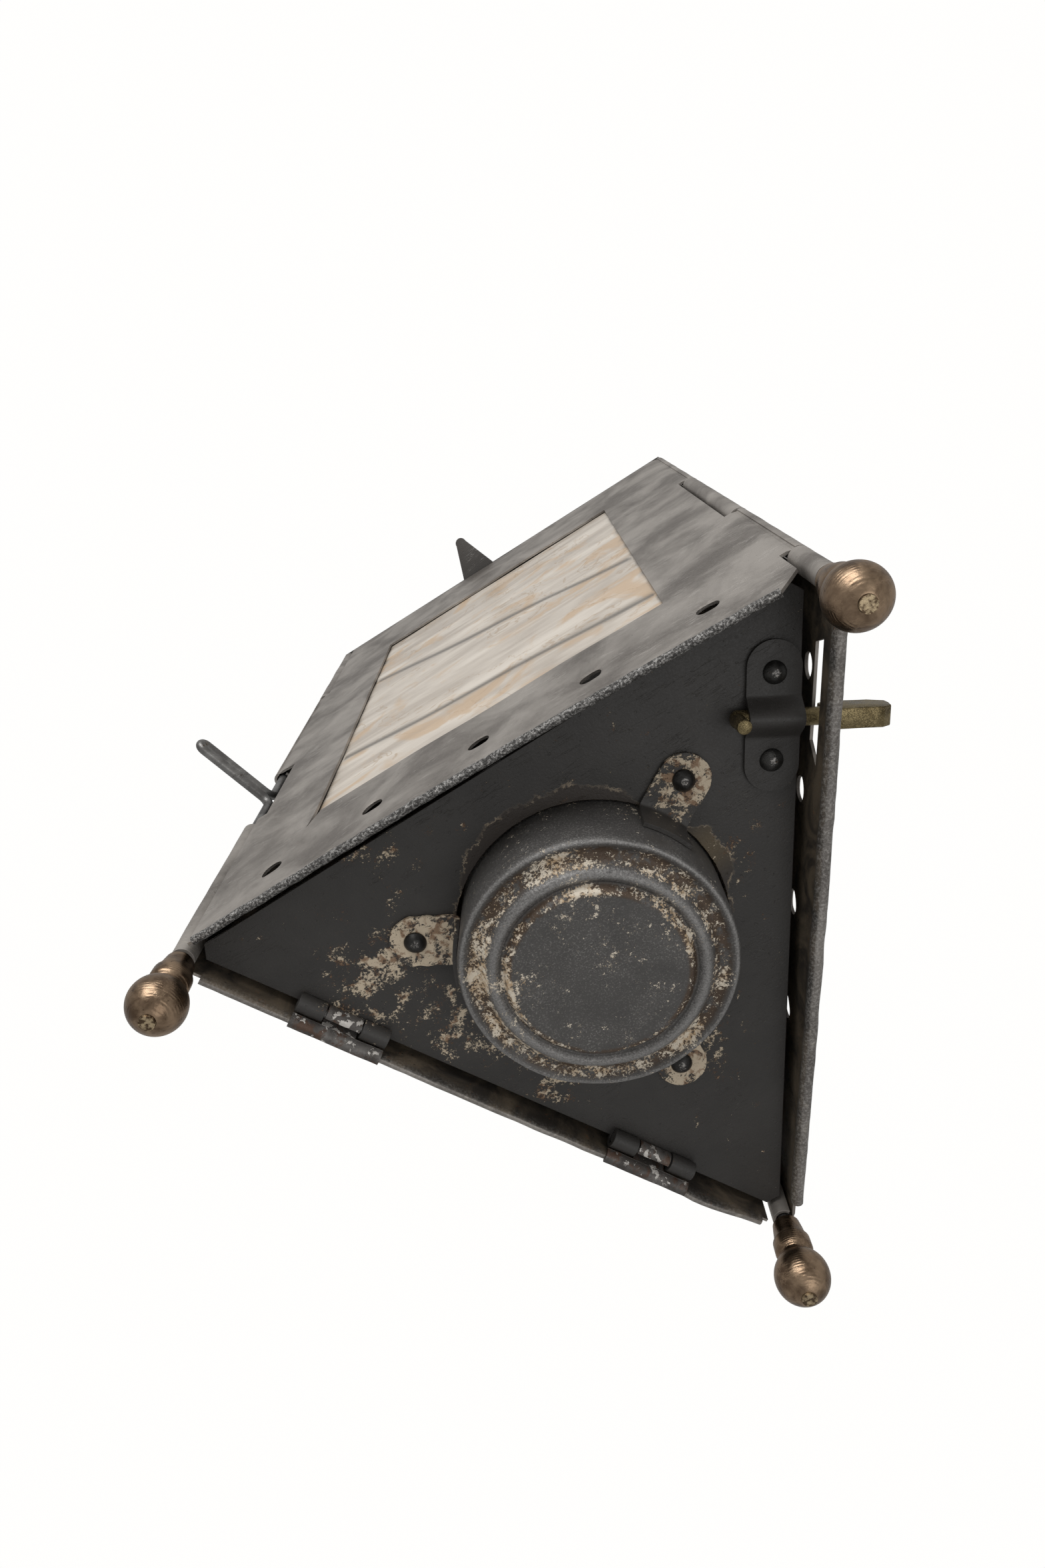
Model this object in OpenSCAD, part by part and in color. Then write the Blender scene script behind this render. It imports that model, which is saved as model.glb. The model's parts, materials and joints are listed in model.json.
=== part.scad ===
// Folding candle lantern: three tin walls round a triangular base, standing on brass ball feet.
// The front wall is a door on the left corner rod. The cover swings up on the left wall.
// Millimetres, +Z up, the front wall faces -Y, z = 0 at the tips of the feet.

/* [Body] */
// Distance between two corner rods
rod_spacing = 120; // [90:1:160]
// Height of each wall, from its rim to its top edge
wall_h = 198; // [150:1:260]
// Height of the walls' bottom rims above the ground
rim_z = 17.5; // [17:0.5:30]
// Thickness of the tin sheet
sheet_t = 0.6; // [0.5:0.1:0.9]
// Thickness of the heavier sheet: base plate, cover, ears and latch bracket
plate_t = 0.8; // [0.6:0.1:1]
// Diameter of the corner rods
rod_d = 2.2; // [1.8:0.1:2.6]
// Outside diameter of the rolled knuckles round the rods
knuckle_d = 4.2; // [3.8:0.1:5]

/* [Window and vents] */
// Width of the tin beside the window, measured from the rod
stile_w = 22.2; // [16:0.1:32]
// Height of the tin below the window
sill_h = 31.2; // [24:0.1:40]
// Height of the tin above the window
head_h = 34; // [20:0.5:60]
// Diameter of a vent hole
vent_d = 4.4; // [3:0.1:6]
// Height of the vent row above the rim
vent_h = 14.2; // [13:0.1:18]
// Number of vent holes in a row
vent_n = 5; // [3:1:6]
// Distance from a rod to the nearest vent hole
vent_margin = 16.6; // [12:0.1:24]

/* [Base and cup] */
// Height of the base plate above the rim, at its hinges
base_h = 3.4; // [3:0.1:4.5]
// Slope of the base plate, which rises from its hinges to the latch, in degrees
base_slope = 5; // [3:0.1:6]
// Distance from the cup's side to the plane of the rods in each wall
cup_margin = 11.641; // [9.6:0.001:16]
// How far the cup hangs below the rim
cup_drop = 8.2; // [6:0.1:11]
// Radius of the candle
candle_r = 11; // [8:0.5:11.5]
// Length of the candle
candle_h = 74; // [30:1:110]

/* [Feet] */
// Radius of a ball foot
ball_r = 4.9; // [4:0.1:6]

/* [Latch] */
// Distance of the turn bolt from the right rod, along the wall
bolt_at = 23.5; // [22:0.5:32]
// Diameter of the turn bolt
bolt_d = 3; // [2.5:0.1:3.6]
// Length of the bolt's paddle outside the wall
paddle_l = 11; // [8:0.5:14]

/* [Loop] */
// Reach of the wire loop from the left rod's axis
loop_reach = 21; // [15:0.5:30]
// Height of the wire loop above the rim
loop_h = 71.3; // [50:0.1:85]

/* [Top] */
// Radius of the chimney collar
chimney_r = 22; // [16:0.5:24]
// Height of the chimney collar
chimney_h = 15; // [12:0.5:25]
// Radius of the cap
cap_r = 28.5; // [26:0.5:31]
// Radius of the hanging ring, to the middle of its wire
ring_r = 16; // [14:0.5:22]

/* [Hidden] */
$fn = 48;

// Fits and clearances
pin_fit = 0.05;              // radial play of a rod, rivet or pin in its hole
clear = 0.4;                 // gap between pieces that pass each other
seat = 0.02;                 // gap between pieces that lie on each other
through = 6;                 // reach of the cuts that pass through a sheet

// Walls and their knuckles
rod_r = rod_d / 2;
knuckle_r = knuckle_d / 2;
sheet_out = knuckle_r - 0.1; // outer face of a wall, measured from the plane of its rods
sheet_in = sheet_out - sheet_t;
top_z = rim_z + wall_h;
notch = knuckle_r + 0.5;     // how far a wall is cut back beside its neighbour's knuckle
loop_notch = 5;              // how far both walls are cut back beside the wire loop
hem_r = 1.15;                // the rolled hem at the rim, and the wire inside it
hem_wire_r = 0.65;
hem_y = sheet_out - sheet_t / 2 + 0.4;
left_hem_y = sheet_in + hem_r; // the left wall is flat inside, where the hinge straps lie on it
hem_end = 4;                 // where a hem ends beside a rod
hem_start = 7;               // where the door's hem begins beside the right rod
slant_h = 6;                 // height of the slanted corner of the door above the right foot

// Heights above the rim at which the knuckles of each corner change owner
right_cuts = [0, 18.6, 67.3, wall_h - 66, wall_h];
left_cuts = [0, loop_h - 17.8, loop_h + 12.7, wall_h - 50.5, wall_h];
back_cuts = [0, wall_h / 4, wall_h / 2, wall_h * 3 / 4, wall_h];

// Corners, in the order right, left, back. Wall k runs from corner k to the next one.
corners = [
    [rod_spacing / 2, -rod_spacing * sqrt(3) / 6],
    [-rod_spacing / 2, -rod_spacing * sqrt(3) / 6],
    [0, rod_spacing / sqrt(3)],
];
FRONT = 0;
LEFT = 1;
RIGHT = 2;

// Rods, wire loop and feet
rod_end_z = top_z - 0.3;
rod_head_r = rod_r + 0.2;
rod_head_h = 0.6;
loop_turn = -105;            // direction of the wire loop, seen from above
loop_half = rod_r + 0.15;    // half the distance between the loop's two legs
loop_bend_r = rod_r + 1.3;
ball_z = ball_r + 0.3;       // the rod's head stands out this little below the ball
neck_r = ball_r - 2;
neck_z = ball_z + ball_r - 1.4;
collar_r = ball_r - 1.5;
collar_z = neck_z + 1.8;
collar_h = 2.6;
foot_top_r = rod_r + 1.35;
foot_top_z = rim_z - 0.3;

// The lantern's axis stands off the origin, which is at the middle of the outline
reach_left = rod_spacing / 2 - (loop_reach - rod_r) * cos(loop_turn) + rod_r;
reach_right = rod_spacing / 2 + ball_r;
reach_front = rod_spacing * sqrt(3) / 6 - (loop_reach - rod_r) * sin(loop_turn) + rod_r;
reach_back = rod_spacing / sqrt(3) + ball_r;
axis_x = (reach_left - reach_right) / 2;
axis_y = (reach_front - reach_back) / 2;

// Window, vents and panes
window_w = rod_spacing - 2 * stile_w;
window_h = wall_h - sill_h - head_h;
vent_pitch = (rod_spacing - 2 * vent_margin) / (vent_n - 1);
slit_w = 1.6;                // the cut that runs on past the window's lower left corner
slit_l = 6;
pane_t = 0.5;
pane_lap = 3;                // how far a pane reaches past the window
channel_w = 3;               // width of a channel outside its pane

// Base plate
base_z = rim_z + base_h;
base_in = 0.4;               // the plate's edge, inside the plane of the rods
base_trim = 2.4;             // how much is cut off each corner of the plate

// Hinges of the base plate and of the cover, both along the left wall
hinge_pin_r = 0.8;
hinge_knuckle_r = 1.7;
hinge_tab_l = 17;            // one hinge: two outer knuckles and one inner knuckle
hinge_outer_l = 5;
hinge_mid_l = hinge_tab_l - 2 * hinge_outer_l;
hinge_offset = 31;           // distance of a hinge from the middle of the wall
hinge_at = [rod_spacing / 2 - hinge_offset, rod_spacing / 2 + hinge_offset];
base_axis_y = sheet_in - clear - hinge_knuckle_r;
base_axis_z = base_z + plate_t - hinge_knuckle_r - 0.1;
base_leaf_h = base_axis_z - rim_z + 0.5;
cover_leaf_h = 9;

// Rivets: a domed head below and a peened end above the sheets they join
rivet_r = 1.2;
rivet_head_r = 2;
rivet_head_h = 1.1;
rivet_low_z = base_z - plate_t - 2 * seat;
rivet_high_z = base_z + plate_t + seat;

// Cup, ears and candle
cup_r = rod_spacing * sqrt(3) / 6 - cup_margin;
cup_t = 0.7;
cup_low_z = rim_z - cup_drop;
cup_top_z = base_z + rod_spacing * sqrt(3) / 6 * sin(base_slope) + 5;
groove_r = cup_r - 3;
crest_r = cup_r - 5.9;
disc_r = cup_r - 8.2;
ear_w = 9;
ear_lip = 8;                 // length of the ear's lip down the cup's side
ear_rivet_r = cup_r + 7.5;
ear_sweep = 2 * asin(ear_w / 2 / (cup_r + plate_t));
ear_low_z = base_z - plate_t - seat;
socket_h = 16;
// the socket and its wall need this much of the cup's flat bottom round the candle
held_r = min(candle_r, disc_r - 2.9);
socket_z = cup_low_z + cup_t + seat;
candle_z = socket_z + sheet_t + seat;
wick_r = 0.9;
wick_l = 20;
wick_hole_l = 12;

// Latch
bolt_r = bolt_d / 2;
bolt_z = base_z - bolt_r - 0.06; // while the plate is still level
bolt_away = (rod_spacing - bolt_at) * sin(60) + sheet_out / 2 + base_axis_y;
slot_z = base_axis_z + bolt_away * sin(base_slope) + (bolt_z - base_axis_z) * cos(base_slope);
bracket_y = -4.9;            // middle of the bracket, inside the plane of the rods
bracket_l = 25.2;
bracket_w = 9;
latch_rivet_gap = 7.3;       // distance of a rivet from the bolt
peg_r = 1.25;
peg_l = 5.5;
peg_y = bracket_y - bracket_w / 2 - clear - peg_r;
paddle_y = sheet_out + 1.5 * clear;
paddle_t = 3.4;
paddle_half = 2.75;          // half the width of the paddle
slot_ahead = 13;             // reach of the slot from the bolt towards the right rod
slot_behind = 8;

// Cover, chimney and ring
cover_z = top_z + 0.5;
cover_lap = 1.9;             // how far the cover reaches outside the rods
cover_trim = 2;
cover_axis_y = sheet_out + clear + hinge_knuckle_r;
cover_axis_z = cover_z + plate_t - hinge_knuckle_r - 0.1;
tongue_at = 67.2;            // place of the tongue along the front edge
tongue_l = 12.5;
tongue_r = 1.7;
skirt_h = 3;
skirt_in = 0.3;
flange_w = 4.5;
flange_z = cover_z + plate_t + seat;
collar_vent_r = 2.2;
cap_rise = 8;
cap_z = flange_z + chimney_h + 5;
cap_top_z = cap_z + cap_rise;
cap_ball = (cap_r * cap_r + cap_rise * cap_rise) / (2 * cap_rise);
cap_ball_z = cap_top_z - cap_ball;
bead_r = 0.9;                // the rolled bead round the cap's edge
leg_w = 7;
eye_r = 2 * rod_r + 0.8;
eye_z = cap_top_z + rod_r + 2.1;
ring_lie = 12;               // the ring rests on its side, a little below level

tin = [0.42, 0.41, 0.40];
dark_tin = [0.2, 0.19, 0.18];
steel = [0.35, 0.34, 0.33];
brass = [0.5, 0.4, 0.28];
mica = [0.8, 0.76, 0.7, 0.5];
wax = [0.92, 0.89, 0.8];

// Placing

module lantern_frame() translate([axis_x, axis_y, 0]) children();

// Draws in a wall's own frame: x along it from its first rod, y outwards, z from the ground
module on_wall(k)
    lantern_frame()
        translate([corners[k].x, corners[k].y, 0])
            rotate([0, 0, 180 - 120 * k])
                children();

module at_corner(k) lantern_frame() translate([corners[k].x, corners[k].y, 0]) children();

module each_third() for (turn = [-150, -30, 90]) rotate([0, 0, turn]) children();

// Tips pieces that were drawn on a level base plate about the plate's hinge, up to its slope
module on_slope() {
    pivot = [
        axis_x + corners[LEFT].x - base_axis_y * cos(30),
        axis_y + corners[LEFT].y + base_axis_y * sin(30),
        base_axis_z,
    ];
    translate(pivot) rotate([0, 0, 60]) rotate([-base_slope, 0, 0]) rotate([0, 0, -60])
        translate(-pivot) children();
}

// A cylinder along x
module bar(r, x0, x1) translate([x0, 0, 0]) rotate([0, 90, 0]) cylinder(r = r, h = x1 - x0);

// A domed rivet head: its flat side lies at z = 0 and it rises to z = h
module rivet_head(r, h) {
    ball = (r * r + h * h) / (2 * h);
    intersection() {
        translate([0, 0, h - ball]) sphere(r = ball);
        cylinder(r = r + 1, h = h + 1);
    }
}

// The outline of a plate that follows the three walls at the given distance outside the rods,
// with its corners cut off square
function trimmed_triangle(out, trim) =
    let (
        mid = rod_spacing / sqrt(3) + 2 * out - trim,
        half = trim * tan(30)
    ) [
        for (a = [-30, 90, 210], side = [-1, 1])
            [mid * cos(a) - side * half * sin(a), mid * sin(a) + side * half * cos(a)]
    ];

module triangle_plate(out, trim, t)
    linear_extrude(t) polygon(trimmed_triangle(out, trim));

// Walls

// A knuckle round the rod at x, between two heights above the rim
module knuckle(x, low, high)
    translate([x, 0, rim_z + low + clear])
        cylinder(r = knuckle_r, h = high - low - 2 * clear);

// A quarter curl that is open towards the inside, so that the door can leave its rod
module open_curl(low, high)
    translate([0, 0, rim_z + low + clear])
        rotate([0, 0, 90])
            rotate_extrude(angle = 90)
                translate([sheet_in, 0]) square([sheet_t, high - low - 2 * clear]);

// Cuts the sheet back to the given depth. A cut that ends at the rim or at the top runs past it.
module cut_back(x, depth, low, high) {
    from = rim_z + low - (low == 0 ? 1 : 0);
    to = rim_z + high + (high == wall_h ? 1 : 0);
    translate([x - depth, -through, from]) cube([2 * depth, 2 * through, to - from]);
}

module sheet()
    translate([0, sheet_in, rim_z + hem_r]) cube([rod_spacing, sheet_t, wall_h - hem_r]);

module along_hem(y = hem_y) translate([0, y, rim_z + hem_r]) children();

module hem_bore(y = hem_y) along_hem(y) bar(hem_wire_r + pin_fit, 0, rod_spacing);

module rod_bore(x)
    translate([x, 0, rim_z - 1]) cylinder(r = rod_r + pin_fit, h = wall_h + 2);

module window()
    translate([stile_w, 0, rim_z + sill_h]) cube([window_w, through, window_h]);

// The chisel cut that overshoots a corner of the window, down to a point
module corner_slit()
    translate([stile_w + window_w, through, rim_z + sill_h])
        rotate([90, 0, 0])
            linear_extrude(through) polygon([[-slit_w, 1], [0, 1], [0.6, -slit_l]]);

module vent_row()
    for (i = [0 : vent_n - 1])
        translate([vent_margin + i * vent_pitch, 0, rim_z + vent_h])
            rotate([-90, 0, 0]) cylinder(d = vent_d, h = through);

// The bottom corner beside a foot is cut off at a slant
module foot_corner_cut()
    translate([0, -1, rim_z])
        rotate([-90, 0, 0])
            linear_extrude(through) polygon([
                [-notch, hem_r], [hem_start, hem_r], [hem_start, 0],
                [notch, -slant_h], [-notch, -slant_h],
            ]);

module front_wall()
    color(tin) on_wall(FRONT)
        difference() {
            union() {
                difference() {
                    sheet();
                    cut_back(0, notch, right_cuts[0], right_cuts[1]);
                    cut_back(0, notch, right_cuts[2], right_cuts[3]);
                    cut_back(rod_spacing, notch, left_cuts[0], left_cuts[1]);
                    cut_back(rod_spacing, loop_notch, left_cuts[1], left_cuts[2]);
                    cut_back(rod_spacing, notch, left_cuts[3], left_cuts[4]);
                    foot_corner_cut();
                }
                open_curl(right_cuts[1], right_cuts[2]);
                open_curl(right_cuts[3], right_cuts[4]);
                knuckle(rod_spacing, left_cuts[2], left_cuts[3]);
                along_hem() bar(hem_r, hem_start, rod_spacing - hem_end);
            }
            hem_bore();
            rod_bore(rod_spacing);
            window();
            corner_slit();
            vent_row();
        }

module right_wall()
    color(tin) on_wall(RIGHT)
        difference() {
            union() {
                difference() {
                    sheet();
                    cut_back(rod_spacing, notch, right_cuts[1], right_cuts[2]);
                    cut_back(rod_spacing, notch, right_cuts[3], right_cuts[4]);
                    cut_back(0, notch, back_cuts[1], back_cuts[2]);
                    cut_back(0, notch, back_cuts[3], back_cuts[4]);
                }
                knuckle(rod_spacing, right_cuts[0], right_cuts[1]);
                knuckle(rod_spacing, right_cuts[2], right_cuts[3]);
                knuckle(0, back_cuts[0], back_cuts[1]);
                knuckle(0, back_cuts[2], back_cuts[3]);
                along_hem() bar(hem_r, hem_end, rod_spacing - hem_end);
            }
            hem_bore();
            rod_bore(0);
            rod_bore(rod_spacing);
            window();
            vent_row();
            latch_slot();
        }

// The bolt leaves through a long slot with slanted ends
module latch_slot() {
    low = slot_z - bolt_r - 0.8;
    high = slot_z + bolt_r + 0.7;
    bolt_x = rod_spacing - bolt_at;
    translate([0, through, 0])
        rotate([90, 0, 0])
            linear_extrude(through)
                polygon([
                    [bolt_x - slot_behind, low], [bolt_x + slot_ahead, low],
                    [bolt_x + slot_ahead - 1.5, high], [bolt_x - slot_behind + 3, high],
                ]);
}

module left_wall()
    color(tin) on_wall(LEFT)
        difference() {
            union() {
                difference() {
                    sheet();
                    cut_back(0, loop_notch, left_cuts[1], left_cuts[2]);
                    cut_back(0, notch, left_cuts[2], left_cuts[3]);
                    cut_back(rod_spacing, notch, back_cuts[0], back_cuts[1]);
                    cut_back(rod_spacing, notch, back_cuts[2], back_cuts[3]);
                }
                knuckle(0, left_cuts[0], left_cuts[1]);
                knuckle(0, left_cuts[3], left_cuts[4]);
                knuckle(rod_spacing, back_cuts[1], back_cuts[2]);
                knuckle(rod_spacing, back_cuts[3], back_cuts[4]);
                along_hem(left_hem_y) bar(hem_r, hem_end, rod_spacing - hem_end);
            }
            hem_bore(left_hem_y);
            rod_bore(0);
            rod_bore(rod_spacing);
        }

module hem_wire(x0, y = hem_y) along_hem(y) bar(hem_wire_r, x0, rod_spacing - hem_end);

module hem_wire_front() color(steel) on_wall(FRONT) hem_wire(hem_start);
module hem_wire_right() color(steel) on_wall(RIGHT) hem_wire(hem_end);
module hem_wire_left() color(steel) on_wall(LEFT) hem_wire(hem_end, left_hem_y);

// Corner rods and feet

// A length of rod between two heights, and the peened head that holds the ball foot
module rod(z0, z1) translate([0, 0, z0]) cylinder(r = rod_r, h = z1 - z0);

module rod_head() cylinder(r = rod_head_r, h = rod_head_h);

module plain_rod() {
    rod_head();
    rod(rod_head_h / 2, rod_end_z);
}

// A bend of round wire in the xz plane, from angle a to angle b about its centre
module wire_bend(radius, a, b)
    rotate([90, 0, 0])
        rotate([0, 0, a])
            rotate_extrude(angle = b - a) translate([radius, 0]) circle(r = rod_r, $fn = 32);

// The left rod steps out between two knuckles, runs to a tight turn and comes back
module looped_rod() {
    mid = rim_z + loop_h;
    low = mid - loop_half - loop_bend_r;
    high = mid + loop_half + loop_bend_r;
    turn_x = loop_reach - rod_r - loop_half;
    rod_head();
    rod(rod_head_h / 2, low);
    translate([loop_bend_r, 0, low]) wire_bend(loop_bend_r, 90, 180);
    translate([0, 0, mid - loop_half]) bar(rod_r, loop_bend_r, turn_x);
    translate([turn_x, 0, mid]) wire_bend(loop_half, -90, 90);
    translate([0, 0, mid + loop_half]) bar(rod_r, loop_bend_r, turn_x);
    translate([loop_bend_r, 0, high]) wire_bend(loop_bend_r, 180, 270);
    rod(high, rod_end_z);
}

module rod_right() color(steel) at_corner(0) plain_rod();
module rod_left() color(steel) at_corner(1) rotate([0, 0, loop_turn]) looped_rod();
module rod_back() color(steel) at_corner(2) plain_rod();

// A turned ball with a neck and a collar that tapers up to the walls
module ball_foot()
    color(brass) difference() {
        union() {
            translate([0, 0, ball_z]) sphere(r = ball_r, $fn = 64);
            translate([0, 0, neck_z]) cylinder(r = neck_r, h = foot_top_z - neck_z - 1);
            translate([0, 0, collar_z]) cylinder(r = collar_r, h = collar_h);
            translate([0, 0, collar_z + collar_h])
                cylinder(r1 = collar_r, r2 = foot_top_r, h = foot_top_z - collar_z - collar_h);
        }
        translate([0, 0, -1]) cylinder(r = rod_r + pin_fit, h = rim_z + 2);
        translate([0, 0, -1]) cylinder(r = rod_head_r + pin_fit, h = 1 + rod_head_h + pin_fit);
    }

module ball_foot_right() at_corner(0) ball_foot();
module ball_foot_left() at_corner(1) ball_foot();
module ball_foot_back() at_corner(2) ball_foot();

// Mica panes, each in a channel of three sides that it slides into from above

module pane()
    color(mica)
        translate([stile_w - pane_lap, sheet_in - 2 * seat - pane_t, rim_z + sill_h - pane_lap])
            cube([window_w + 2 * pane_lap, pane_t, window_h + 2 * pane_lap]);

module pane_channel() {
    z0 = rim_z + sill_h;
    depth = pane_t + 0.7;
    edge = pane_lap + channel_w;
    slack = 0.2;
    past = 20;
    color(tin) difference() {
        translate([stile_w - edge, sheet_in - seat - depth, z0 - edge])
            cube([window_w + 2 * edge, depth, window_h + edge + pane_lap]);
        translate([stile_w - pane_lap - slack, sheet_in - 4 * seat - pane_t, z0 - pane_lap - slack])
            cube([window_w + 2 * (pane_lap + slack), 1, window_h + past]);
        translate([stile_w, sheet_in - through, z0]) cube([window_w, 2 * through, window_h + past]);
    }
}

module front_pane() on_wall(FRONT) pane();
module right_pane() on_wall(RIGHT) pane();
module front_pane_channel() on_wall(FRONT) pane_channel();
module right_pane_channel() on_wall(RIGHT) pane_channel();

// Hinges, drawn about the hinge axis along x

// The two outer knuckles of each hinge, tied to their plate
module outer_knuckles(tie_l, tie_z)
    for (mid = hinge_at, side = [-1, 1]) {
        x = mid + side * (hinge_tab_l - hinge_outer_l) / 2;
        bar(hinge_knuckle_r, x - hinge_outer_l / 2, x + hinge_outer_l / 2);
        translate([x - hinge_outer_l / 2, -tie_l, tie_z]) cube([hinge_outer_l, tie_l, plate_t]);
    }

// Room for the inner knuckles and for the pins
module hinge_room(plate_z) {
    for (mid = hinge_at)
        translate([mid - hinge_mid_l / 2, -hinge_knuckle_r - clear, plate_z - 1])
            cube([hinge_mid_l, 10, plate_t + 2]);
    for (mid = hinge_at)
        bar(hinge_pin_r + pin_fit, mid - hinge_tab_l / 2 - 1, mid + hinge_tab_l / 2 + 1);
}

// One strap: the middle knuckle of a hinge with a leaf that is soldered to the wall
module hinge_strap(mid, leaf_y, leaf_h) {
    half = hinge_mid_l / 2 - 0.3;
    difference() {
        union() {
            bar(hinge_knuckle_r, mid - half, mid + half);
            translate([mid - half, leaf_y, -leaf_h]) cube([2 * half, sheet_t, leaf_h]);
            translate([mid - hinge_tab_l / 2, leaf_y, -leaf_h])
                cube([hinge_tab_l, sheet_t, leaf_h - hinge_knuckle_r + 0.3]);
        }
        bar(hinge_pin_r + pin_fit, mid - 2 * half, mid + 2 * half);
    }
}

module hinge_pins()
    for (mid = hinge_at)
        bar(hinge_pin_r, mid - hinge_tab_l / 2 + 0.2, mid + hinge_tab_l / 2 - 0.2);

// Base plate

module on_base_hinge() on_wall(LEFT) translate([0, base_axis_y, base_axis_z]) children();

module rivet_hole() translate([0, 0, base_z - 4]) cylinder(r = rivet_r + pin_fit, h = 8);

module base_plate()
    color(dark_tin) difference() {
        on_slope() difference() {
            union() {
                lantern_frame() translate([0, 0, base_z])
                    triangle_plate(-base_in, base_trim, plate_t);
                on_base_hinge() outer_knuckles(3, base_z - base_axis_z);
            }
            on_base_hinge() hinge_room(base_z - base_axis_z);
            lantern_frame() each_third() translate([ear_rivet_r, 0, 0]) rivet_hole();
            on_wall(RIGHT) at_latch_rivets() rivet_hole();
        }
        lantern_frame() translate([0, 0, rim_z])
            cylinder(r = cup_r + 0.5, h = cup_top_z - rim_z, $fn = 72);
    }

module base_hinge_straps()
    color(tin) on_base_hinge()
        for (mid = hinge_at)
            hinge_strap(mid, sheet_in - 2 * seat - sheet_t - base_axis_y, base_leaf_h);

module base_hinge_pins() color(steel) on_base_hinge() hinge_pins();

// Cup: a stamped pan with a ridge, a groove and a crest ring round the disc that it stands out to

// The pan's lower face, from the middle out to the side: radius and height above the disc
cup_line = [
    [0, 0], [disc_r, 0], [disc_r + 0.8, 1.5], [crest_r - 0.9, 1], [crest_r, 0.7],
    [crest_r + 0.9, 1.1], [groove_r - 1, 2.5], [groove_r, 3], [groove_r + 1, 2.8],
    [cup_r - 1.1, 2.1], [cup_r - 0.4, 2.4], [cup_r, 3.6],
];
cup_edge = len(cup_line) - 1;
// The upper face: the flat part is lifted, and the last two points also move inwards
cup_inner_line = [
    for (i = [cup_edge : -1 : 0])
        i > cup_edge - 2
            ? [cup_line[i].x - cup_t, cup_line[i].y + (i == cup_edge ? 0.3 : cup_t)]
            : [cup_line[i].x, cup_line[i].y + cup_t]
];

module cup()
    color(dark_tin) lantern_frame() translate([0, 0, cup_low_z])
        rotate_extrude($fn = 96)
            polygon(concat(
                cup_line,
                [[cup_r, cup_top_z - cup_low_z], [cup_r - cup_t, cup_top_z - cup_low_z]],
                cup_inner_line
            ));

// A piece of a ring round the cup, as wide as an ear
module ear_arc(gap, width, low, h)
    rotate([0, 0, -ear_sweep / 2]) translate([0, 0, low])
        rotate_extrude(angle = ear_sweep, $fn = 96) translate([cup_r + gap, 0]) square([width, h]);

// Three ears hold the cup under the sloping plate. Each is bent down along the cup's side.
module cup_ears()
    color(dark_tin) difference() {
        union() {
            on_slope() lantern_frame() each_third() {
                translate([cup_r + 1.2, -ear_w / 2, ear_low_z])
                    cube([ear_rivet_r - cup_r - 1.2, ear_w, plate_t]);
                translate([ear_rivet_r, 0, ear_low_z]) cylinder(r = ear_w / 2, h = plate_t);
                ear_arc(plate_t / 2, 2.5 * plate_t, ear_low_z, plate_t);
            }
            intersection() {
                lantern_frame() each_third()
                    ear_arc(seat, plate_t, cup_low_z, cup_top_z - cup_low_z);
                on_slope() lantern_frame() translate([-cup_r - 5, -cup_r - 5, base_z - ear_lip])
                    cube([2 * cup_r + 10, 2 * cup_r + 10, ear_lip - seat]);
            }
        }
        on_slope() lantern_frame() each_third() translate([ear_rivet_r, 0, 0]) rivet_hole();
    }

module rivet() {
    translate([0, 0, rivet_low_z]) cylinder(r = rivet_r, h = rivet_high_z - rivet_low_z);
    translate([0, 0, rivet_low_z]) mirror([0, 0, 1]) rivet_head(rivet_head_r, rivet_head_h);
    translate([0, 0, rivet_high_z]) rivet_head(rivet_head_r * 0.85, rivet_head_h * 0.7);
}

module ear_rivets()
    color(dark_tin) on_slope() lantern_frame() each_third()
        translate([ear_rivet_r, 0, 0]) rivet();

module candle_socket()
    color(tin) lantern_frame() translate([0, 0, socket_z])
        rotate_extrude($fn = 64) {
            translate([held_r + 0.1, 0]) square([sheet_t, socket_h]);
            square([disc_r - 1, sheet_t]);
        }

// The candle has a sloped shoulder and a hole for its wick
module candle() {
    shoulder = 3;
    color(wax) lantern_frame() translate([0, 0, candle_z])
        difference() {
            union() {
                cylinder(r = held_r, h = candle_h - shoulder, $fn = 64);
                translate([0, 0, candle_h - shoulder])
                    cylinder(r1 = held_r, r2 = held_r * 0.55, h = shoulder, $fn = 64);
            }
            translate([0, 0, candle_h - wick_hole_l])
                cylinder(r = wick_r + pin_fit, h = wick_hole_l + 1);
        }
}

module wick()
    color(dark_tin) lantern_frame() translate([0, 0, candle_z + candle_h - wick_hole_l + seat])
        cylinder(r = wick_r, h = wick_l);

// Latch, drawn in the right wall's frame

module at_latch_rivets()
    for (side = [-1, 1])
        translate([rod_spacing - bolt_at + side * latch_rivet_gap, bracket_y, 0]) children();

// A stadium of sheet with a half-round channel across it for the bolt
module latch_bracket() {
    straight = (bracket_l - bracket_w) / 2;
    low = base_z - plate_t - seat;
    color(dark_tin) on_slope() on_wall(RIGHT) difference() {
        translate([rod_spacing - bolt_at, bracket_y, 0]) union() {
            translate([-straight, -bracket_w / 2, low]) cube([2 * straight, bracket_w, plate_t]);
            for (side = [-1, 1])
                translate([side * straight, 0, low]) cylinder(r = bracket_w / 2, h = plate_t);
            translate([0, 0, bolt_z]) rotate([90, 0, 0])
                cylinder(r = bolt_r + plate_t, h = bracket_w, center = true);
        }
        translate([rod_spacing - bolt_at, 0, bolt_z]) rotate([90, 0, 0])
            cylinder(r = bolt_r + pin_fit, h = 60, center = true);
        translate([0, -20, base_z - seat]) cube([rod_spacing, 40, 10]);
        at_latch_rivets() rivet_hole();
    }
}

module latch_rivets() color(steel) on_slope() on_wall(RIGHT) at_latch_rivets() rivet();

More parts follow.
